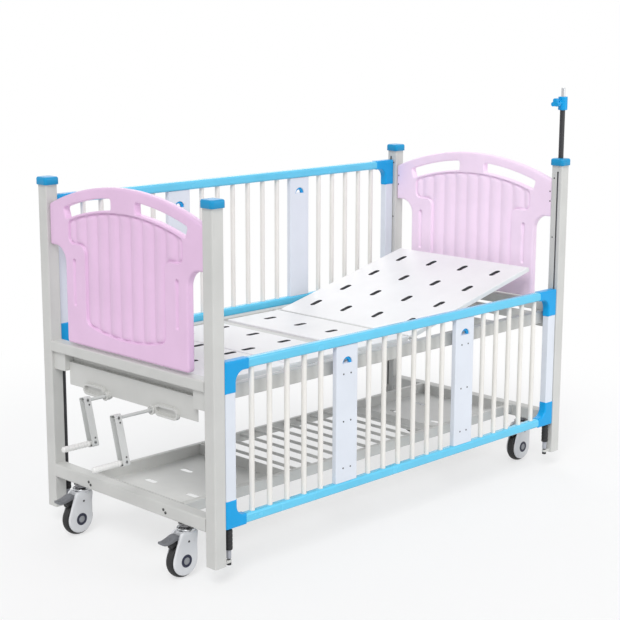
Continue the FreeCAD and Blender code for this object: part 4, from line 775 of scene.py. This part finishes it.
def wheelParts():
    # a tread crowned by the square of y, with fine bell-shaped grooves, and a hub with a sunk web
    w = wheel
    half = w["half"]
    radius = caster["wheel"]
    y = np.linspace(w["treadEdge"] - half, half - w["treadEdge"], w["treadPoints"])
    groove = sum(np.exp(-((y - at) / w["grooveWidth"]) ** 2) for at in w["grooves"])
    tread = np.stack([radius - w["crown"] * y ** 2 - w["grooveDepth"] * groove, y, 0 * y], 1).tolist()
    wall = [(w["hub"], half - 1.2, 0.5), (radius - 13.0, half - 0.8, 0.8), (radius - 10.5, half, 0.8),
            (radius - 8.0, half - 0.6, 3.0)]
    rim = w["flange"]
    flange = [(45.4, rim, 0.6), (40.0, rim, 0.8), (38.5, w["web"], 1.5), (16.5, w["web"], 1.5),
              (15.0, rim, 0.8), (6.1, rim, 0.5)]
    tyre = [(r, -h, rounding) for r, h, rounding in wall] + tread + wall[::-1]
    hub = [(r, -h, rounding) for r, h, rounding in flange[::-1]] + flange
    axle = (-caster["trail"], 0.0, radius)
    return joined([(*revolve(softProfile(tyre, 2.0), 96, axle, "y"), 0),
                   (*revolve(softProfile(hub, 3.0), 64, axle, "y"), 1)])


def pedalParts():
    # a paddle of rounded sections that widens from the pivot to a turned-up lip, over the brake block
    d = pedal
    out, width, low, high = np.array(d["sections"]).T
    fine = np.linspace(0, len(out) - 1, d["finer"])
    place = np.arange(len(out))
    paddle = loft(*[np.interp(fine, place, a) for a in (-out, width, low, high)], d["round"], d["around"])
    arc = arcPoints(d["padCentre"], d["pad"], *[math.radians(a) for a in d["padArc"]], 3.0)
    first, last = d["blockTop"]
    line = outline([first] + [(u, v, 0.0) for u, v in arc.tolist()] + [last], 3.0)
    points, faces = slab(line, d["blockHalf"], d["blockEdge"], (4.0, 4.0))
    along = np.array(d["ribAlong"])
    rise = np.array(d["ribRise"])
    ribs = [(*loft(x + along, d["ribHalf"], 0 * rise + z - 2.0, z + rise, 0.6, 24), 0) for x, z in d["ribs"]]
    return joined([(*paddle, 0), (alongY(points), faces, 1)] + ribs)


def addCasters():
    c = caster
    bodyPaints = ["casterSilver", "chrome", "hubNavy", "hubGrey", "blackRubber", "bowlSteel"]
    kits = (("Body", casterBodyParts(), bodyPaints, "caster_swivel_", "caster_fork_", "caster_cover"),
            ("Wheel", wheelParts(), ["tyreBlack", "hubGrey"], "caster_wheel_", "caster_wheel_",
             "caster_tyre"),
            ("Pedal", pedalParts(), ["pedalSlate", "blackRubber"], "caster_pedal_", "caster_pedal_",
             "pedal_grey"))
    for endSign, end in ((-1, "foot"), (1, "head")):
        for sideSign, side in ((-1, "near"), (1, "far")):
            for kit, (points, faces, kinds), materials, body, node, slot in kits:
                name = "caster" + kit + end.capitalize() + side.capitalize()
                place = (endSign * c["postX"], sideSign * c["sideY"], 0.0)
                piece = addMesh(name, points + place, faces, materials, body + end + "_" + side, kinds)
                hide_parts(node + end + "_" + side)
    races = [(*revolve(solidProfile(c["race"]), 48, (x * c["postX"], y * c["sideY"], 0.0), "z"), 0)
             for x in (-1, 1) for y in (-1, 1)]
    piece = addMesh("casterRaces", *joined(races)[:2], ["bowlSteel"], "frame")
    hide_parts("caster_races")
    print("casters made,", sum(len(kit[1][1]) for kit in kits), "faces each")


# rail corners and post caps
corner = {
    "outer": 923.5, "sideY": 456.0, "half": 17.0, "edge": 5.0, "leg": 50.0, "sleeve": 38.0, "nook": 38.0,
    "low": 197.0, "high": 775.0, "travel": 471.0, "topLeg": 110.0, "topArm": 110.0, "footLeg": 100.0,
    "footArm": 95.0, "outerRound": 5.0, "pitch": (6.0, 6.0),
    "tongueFrom": 921.5, "tongueReach": 931.0, "tongueHalf": 3.5, "tongue": (685.0, 725.0),
    "boreX": 898.5, "bore": 6.7, "boreFrom": (190.0, 765.0),
}
cap = {
    "place": (950.0, 450.0), "half": 31.5, "round": 12.5, "edge": 8.0, "low": 1285.0, "high": 1315.0,
    "dome": 1.2, "domeTo": 26.0, "plug": 22.8, "plugRound": 3.0, "plugDepth": 22.0,
}


def cornerParts(lift):
    # an L of two sleeves with a wide inner curve, pillowed by its rounded rim, and a tongue that runs
    # in the post's channel
    c = corner
    out = c["outer"]
    low, high = c["tongue"]
    root = c["tongueFrom"]
    tip = c["tongueReach"]
    tongue = outline([(root, low, 0.5), (tip, low, 1.5), (tip, high, 1.5), (root, high, 0.5)], 5.0)
    plates = []
    for end, way, leg, arm in ((c["high"], -1, c["topLeg"], c["topArm"]),
                               (c["low"], 1, c["footLeg"], c["footArm"])):
        bend = outline([(out, end, c["outerRound"]), (out, end + way * leg, 1.0),
                        (out - c["leg"], end + way * leg, 1.0),
                        (out - c["leg"], end + way * c["sleeve"], c["nook"]),
                        (out - arm, end + way * c["sleeve"], 1.0), (out - arm, end, 1.0)], 3.5)
        plates.append((bend, c["half"], c["edge"]))
    plates.append((tongue, c["tongueHalf"], 0.8))
    shells = []
    for line, half, edge in plates:
        for sign in (-1, 1):
            points, faces = slab(line * (sign, 1), half, edge, c["pitch"])
            shells.append((alongY(points) + (0, 0, lift), faces, 0))
    return joined(shells)


def boreMouldings(piece, sideY, lift):
    # the guide rods run in the mouldings: two long cylinders are taken out of the finished piece
    c = corner
    shape = solidProfile([(c["bore"], z, 0.0) for z in c["boreFrom"]])
    rods = [(*revolve(shape, 32, (x * c["boreX"], sideY, lift), "z"), 0) for x in (-1, 1)]
    points, faces = joined(rods)[:2]
    mesh = bpy.data.meshes.new("bores")
    mesh.from_pydata(((points + middle) / 1000).tolist(), [], faces)
    cutter = bpy.data.objects.new("bores", mesh)
    bpy.context.scene.collection.objects.link(cutter)
    cut = piece.modifiers.new("bores", "BOOLEAN")
    cut.object = cutter
    cut.use_self = True                # the tongue overlaps the moulding
    whole = piece.evaluated_get(bpy.context.evaluated_depsgraph_get())
    piece.data = bpy.data.meshes.new_from_object(whole)
    piece.modifiers.remove(cut)
    bpy.data.objects.remove(cutter)


def addMouldings():
    c = corner
    for sign, side, lift in ((-1, "near", 0.0), (1, "far", c["travel"])):
        points, faces = cornerParts(lift)[:2]
        place = (0, sign * c["sideY"], 0)
        piece = addMesh(side + "RailMouldings", points + place, faces, ["azureMoulding"], side + "_rail")
        boreMouldings(piece, sign * c["sideY"], lift)
        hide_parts(side + "_rail_corners")
    print("rail mouldings made,", len(faces), "faces each")


def addCaps():
    c = cap
    h = c["half"]
    rim = outline([(-h, -h, c["round"]), (h, -h, c["round"]), (h, h, c["round"]), (-h, h, c["round"])], 2.5)

    def lid(points, fall):
        # a rounded rim and a low dome in the middle
        rise = smoothStep(signedDistance(points, [rim]), c["edge"], c["domeTo"])
        return c["high"] - c["dome"] + c["dome"] * rise - fall

    shell = plateSurface([rim], [c["edge"]], [], (4.0, 4.0), lid, lambda p, fall: c["low"] + 0.15 * fall)
    h = c["plug"]
    square = outline([(-h, -h, c["plugRound"]), (h, -h, c["plugRound"]), (h, h, c["plugRound"]),
                      (-h, h, c["plugRound"])], 6.0)
    plugged = plateSurface([square], [1.0], [], (12.0, 12.0), lambda p, fall: c["low"] + 1 + 0 * fall,
                           lambda p, fall: c["low"] - c["plugDepth"] + fall)
    parts = []
    for x in (-1, 1):
        for y in (-1, 1):
            place = (x * c["place"][0], y * c["place"][1], 0)
            parts += [(points + place, faces, 0) for points, faces in (shell, plugged)]
    piece = addMesh("postCaps", *joined(parts)[:2], ["capBlue"], "frame")
    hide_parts("post_caps")
    print("post caps made")


# screws, rivets and the channels in the posts
fitting = {
    "largeHead": (5.2, 2.6), "smallHead": (3.224, 1.56),                # radius and height of a screw head
    "beamX": 975.0, "beamPlaces": (212.0, 214.0), "beamPair": (5.5, 4.5),
    "boardX": 933.4, "boardPlaces": ((414.5, 1176.0), (415.5, 1136.0)),
    "postX": 925.0, "postPlaces": ((439.0, 1233.0), (439.0, 989.0)),
    "plateX": 332.8, "plateY": 467.0, "plateOut": 19.0, "plateHeights": (635.0, 460.0, 286.0),
    "channelY": 456.0, "channelHalf": 3.9, "channelDepth": (6.8, 8.2), "channel": (199.0, 1258.0),
}


def screwHead(radius, rise):
    # a domed head with a round recess; its height is its distance from the face it sits on
    return solidProfile([(radius, -1.0, 0.0), (radius, rise * 0.45, 0.3), (radius * 0.72, rise, 0.8),
                         (radius * 0.42, rise, 0.2), (radius * 0.34, rise * 0.4, 0.1)])


def placedHead(shape, place, axis, sign):
    # revolved about the axis and turned to the side that it faces
    points, faces = facing(*revolve(shape, 20, (0, 0, 0), axis), axis, sign)
    return points + place, faces


def addFrameScrews():
    # a slanted pair at each end of the lower beams, and single heads on the posts and board edges
    f = fitting
    large = screwHead(*f["largeHead"])
    small = screwHead(*f["smallHead"])
    beamY, beamZ = f["beamPlaces"]
    dy, dz = f["beamPair"]
    heads = []
    for x in (-1, 1):
        for y in (-1, 1):
            for k in (-1, 1):
                place = (x * f["beamX"], y * beamY + k * dy, beamZ + k * dz)
                heads.append((*placedHead(large, place, "x", x), 0))
            for face, places in ((f["boardX"], f["boardPlaces"]), (f["postX"], f["postPlaces"])):
                for out, z in places:
                    heads.append((*placedHead(small, (x * face, y * out, z), "x", -x), 0))
    piece = addMesh("frameScrews", *joined(heads)[:2], ["boltDark"], "frame")


def addRailScrews():
    # three pairs on each plate
    f = fitting
    small = screwHead(*f["smallHead"])
    for side, name, lift in ((-1, "near", 0.0), (1, "far", corner["travel"])):
        heads = []
        for x in (-1, 1):
            for k in (-1, 1):
                for z in f["plateHeights"]:
                    place = (x * f["plateX"] + k * f["plateOut"], side * f["plateY"], z + lift)
                    heads.append((*placedHead(small, place, "y", side), 0))
        piece = addMesh(name + "RailScrews", *joined(heads)[:2], ["boltDark"], name + "_rail")


def addChannels():
    # a narrow strip sunk in each post's inner face
    f = fitting
    near, far = f["channelDepth"]
    low, high = f["channel"]
    line = outline([(near, low, 0.2), (far, low, 0.2), (far, high, 0.2), (near, high, 0.2)], 40.0)
    points, faces = slab(line, f["channelHalf"], 0.2, (3.0, 60.0))
    strips = []
    for x in (-1, 1):
        for y in (-1, 1):
            turned, outward = facing(alongY(points), faces, "x", x)
            strips.append((turned + (x * f["postX"], y * f["channelY"], 0), outward, 0))
    piece = addMesh("postChannels", *joined(strips)[:2], ["channelGrey"], "frame")
    print("screws and channels made")


# guide rods with their feet, and the buffers that the rails land on
guide = {
    "x": 898.5, "y": 456.0, "rod": (66.0, 760.0), "rodRadius": 6.0, "nutRadius": 8.5, "nutHeight": 9.0,
    "sleeve": (90.0, 121.0), "sleeveRadius": 8.5, "arm": (75.0, 85.0), "armHalf": 9.0, "armReach": 27.0,
    "buffer": (121.0, 192.0), "bufferRadius": 13.5, "ribs": 5, "ribHalf": 3.0,
}


def bufferProfile():
    # straight ribs with a shallow groove above each
    b = guide["bufferRadius"]
    low, high = guide["buffer"]
    half = guide["ribHalf"]
    corners = [(b - 1.0, low, 1.5), (b, low + half, 1.0)]
    for z in np.linspace(low + 8, high - 8, guide["ribs"]).tolist():
        corners += [(b, z - half, 0.8), (b, z + half, 0.8), (b - 0.9, z + half + 1.5, 0.6)]
    return solidProfile(corners + [(b - 0.5, high, 2.0)])


def addGuides():
    # rod, sleeve, buffer and end nut are revolved; the bracket is a rounded arm from the post
    g = guide
    low, high = g["rod"]
    rod = solidProfile([(g["rodRadius"], low + 6, 0.5), (g["rodRadius"], high, 2.0)])
    nut = solidProfile([(g["nutRadius"], low, 1.5), (g["nutRadius"], low + g["nutHeight"], 1.5)])
    sleeve = solidProfile([(g["sleeveRadius"], z, 1.0) for z in g["sleeve"]])
    h = g["armHalf"]
    line = outline([(-h, -h, h - 1), (g["armReach"], -h, 1.0), (g["armReach"], h, 1.0), (-h, h, h - 1)], 3.0)
    foot, top = g["arm"]
    points, faces = plateSurface([line], [1.6], [], (6.0, 6.0), lambda p, fall: top - fall,
                                 lambda p, fall: foot + fall)
    parts = []
    buffers = []
    for x in (-1, 1):
        for y in (-1, 1):
            place = (x * g["x"], y * g["y"], 0)
            for shape, kind in ((rod, 0), (nut, 2), (sleeve, 3)):
                parts.append((*revolve(shape, 32, place, "z"), kind))
            turned, outward = facing(points, faces, "x", x)
            parts.append((turned + place, outward, 1))
            buffers.append((*revolve(bufferProfile(), 40, place, "z"), 0))
    whole, wholeFaces, kinds = joined(parts)
    paints = ["darkRod", "framePaint", "blackRubber", "channelGrey"]
    piece = addMesh("guideRods", whole, wholeFaces, paints, "frame", kinds)
    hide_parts("guide_rods")
    piece = addMesh("railBuffers", *joined(buffers)[:2], ["blackRubber"], "frame")
    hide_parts("rail_buffers")
    print("guide rods made")


# near-black wells that paint the shade seen down the deck's slots, and the bead at the seat's edge
deck = {
    "top": 683.0, "hinge": 677.0, "columns": (-258.0, -86.0, 86.0, 258.0), "slot": (62.0, 24.0),
    "wellDepth": 11.5, "wellWall": 1.4, "wellFit": 0.4, "wellSink": 0.5, "lip": (0.5, 0.9), "ends": 0.995,
    "rest": 13.0, "axis": 129.0,                 # degrees, and the backrest's hinge
    "rows": {"seat": ("frame", (-20.5,)), "backrest": ("backrest", (249.0, 432.0, 615.0, 798.0)),
             "thigh": ("thigh", (-278.0, -461.0)), "leg": ("leg", (-555.0, -738.0))},
    "beadAt": {"seat": 117.6}, "beadHalf": 349.0, "beadWidth": 4.6, "beadRise": 1.1,
}


def reclined(points):
    # turned with the backrest about its hinge, from flat to where it rests
    turn = math.radians(deck["rest"])
    x = points[:, 0] - deck["axis"]
    z = points[:, 2] - deck["hinge"]
    return np.stack([deck["axis"] + x * math.cos(turn) - z * math.sin(turn), points[:, 1],
                     deck["hinge"] + x * math.sin(turn) + z * math.cos(turn)], 1)


def addSlotShadeWells():
    # a sleeve with a rolled lip lines each slot, and its near-black paint is painted shade for the dark
    # inside the slot: two obrounds joined by a narrow top and foot
    d = deck
    length, width = d["slot"]
    lines = [obround(length + 2 * grow, width + 2 * grow, d["ends"], 2.5)
             for grow in (d["wellFit"] / 2, -d["wellWall"])]
    points, faces = plateSurface(lines, d["lip"], [], (20.0, 20.0),
                                 lambda p, fall: d["top"] - d["wellSink"] - fall,
                                 lambda p, fall: d["top"] - d["wellDepth"] + 0.3 * fall)
    bead, beadFaces = loft(np.array([-1.0, 0.0, 1.0]) * d["beadHalf"], [d["beadWidth"]] * 3,
                           [-d["beadRise"]] * 3, [d["beadRise"]] * 3, 0.8, 16)
    bead = bead[:, [1, 0, 2]] * (-1, 1, 1)
    for panel, (body, rows) in d["rows"].items():
        parts = [(points + (x, y, 0), faces, 0) for x in rows for y in d["columns"]]
        if panel in d["beadAt"]:
            parts.append((bead + (d["beadAt"][panel], 0, d["top"]), beadFaces, 1))
        whole, wholeFaces, kinds = joined(parts)
        whole = reclined(whole) if panel == "backrest" else whole
        piece = addMesh(panel + "SlotShadeWells", whole, wholeFaces, ["slotShade", "framePaint"], body, kinds)
    print("deck slots lined")


# cranks: grip barrels, rivets and the rings round the shafts
crank = {
    "axisZ": 555.0, "pitch": 150.0, "tilt": 15.0, "armWidth": 30.0,
    "drives": {"backrest": (1045.0, 129.0), "knee": (1110.0, -129.0)},       # arm's distance out, and y
    "gripFrom": 15.0, "gripTo": 131.0, "grip": 11.0, "neck": 7.3, "ridge": 13.0, "ridgeRise": 0.55,
    "rivet": (3.4, 1.6), "washer": [(6.2, -0.6, 0.0), (6.2, 0.9, 0.4)], "rivetLift": 0.6,
    "spareRivets": (3.0, 16.0),                  # in from the arm's middle, and along from its pins
    "ring": [(8.2, 0.0, 0.0), (17.0, 0.0, 0.5), (17.0, 3.0, 1.2), (14.0, 3.4, 0.8), (13.5, 1.6, 0.5),
             (10.0, 1.6, 0.5), (9.6, 2.6, 0.4), (8.2, 2.6, 0.4)], "ringX": 957.0,
}


def onArm(points, y):
    # from the upright arm at the origin to where the arm hangs, turned about its shaft
    turn = math.radians(-crank["tilt"])
    across = points[:, 1] * math.cos(turn) - points[:, 2] * math.sin(turn)
    up = points[:, 1] * math.sin(turn) + points[:, 2] * math.cos(turn)
    return np.stack([points[:, 0], y + across, crank["axisZ"] + up], 1)


def gripProfile():
    # a barrel whose radius carries shallow finger waves, r - h + h cos(2 pi x / ridge)
    c = crank
    x = np.linspace(c["gripFrom"] + 7.0, c["gripTo"] - 11.0, 70)
    wave = c["grip"] - c["ridgeRise"] + c["ridgeRise"] * np.cos(2 * math.pi * (x - x[0]) / c["ridge"])
    barrel = np.stack([wave, -x, 0 * x], 1)[::-1].tolist()
    return solidProfile([(c["grip"] - 3.5, -c["gripTo"], 2.5), (c["grip"] - 0.6, -c["gripTo"] + 5.0, 2.0)]
                        + barrel + [(c["grip"] - 1.2, -c["gripFrom"] - 2.5, 1.2),
                                    (c["neck"], -c["gripFrom"] - 0.5, 0.5), (c["neck"], 6.5, 1.5)])


def rivetParts(armX):
    # a washer and a rivet on both cheeks at each pin, and a smaller rivet beside it
    c = crank
    head = screwHead(*c["rivet"])
    washer = solidProfile(c["washer"])
    inward, along = c["spareRivets"]
    parts = []
    for side in (-1, 1):
        face = side * c["armWidth"] / 2
        for z in (0.0, -c["pitch"]):
            parts.append((*placedHead(washer, (-armX, face, z), "y", side), 1))
            parts.append((*placedHead(head, (-armX, face + side * c["rivetLift"], z), "y", side), 0))
        for z in (-along, along - c["pitch"]):
            parts.append((*placedHead(head, (inward - armX, face, z), "y", side), 0))
    return parts


def addCranks():
    c = crank
    rings = []
    for drive, (armX, y) in c["drives"].items():
        points, faces = revolve(gripProfile(), 48, (-armX, 0, -c["pitch"]), "x")
        piece = addMesh(drive + "GripBarrel", onArm(points, y), faces, ["gripWhite"], drive + "_grip")
        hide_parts(drive + "_grip")
        points, faces, kinds = joined([(onArm(p, y), f, kind) for p, f, kind in rivetParts(armX)])
        paints = ["boltDark", "zincSteel"]
        piece = addMesh(drive + "CrankRivets", points, faces, paints, drive + "_crank", kinds)
        ring, ringFaces = facing(*revolve(softProfile(c["ring"], 1.5), 40, (0, 0, 0), "x"), "x", -1)
        rings.append((ring + (-c["ringX"], y, c["axisZ"]), ringFaces, 0))
    piece = addMesh("bearingRings", *joined(rings)[:2], ["framePaint"], "frame")
    print("cranks made")


addCamera()
addWorld()
addLamps()
addFloor()
print("studio made")
dressAll()
print("frame dressed")
addBoards()
addCasters()
addMouldings()
addCaps()
addFrameScrews()
addRailScrews()
addChannels()
addGuides()
addSlotShadeWells()
addCranks()
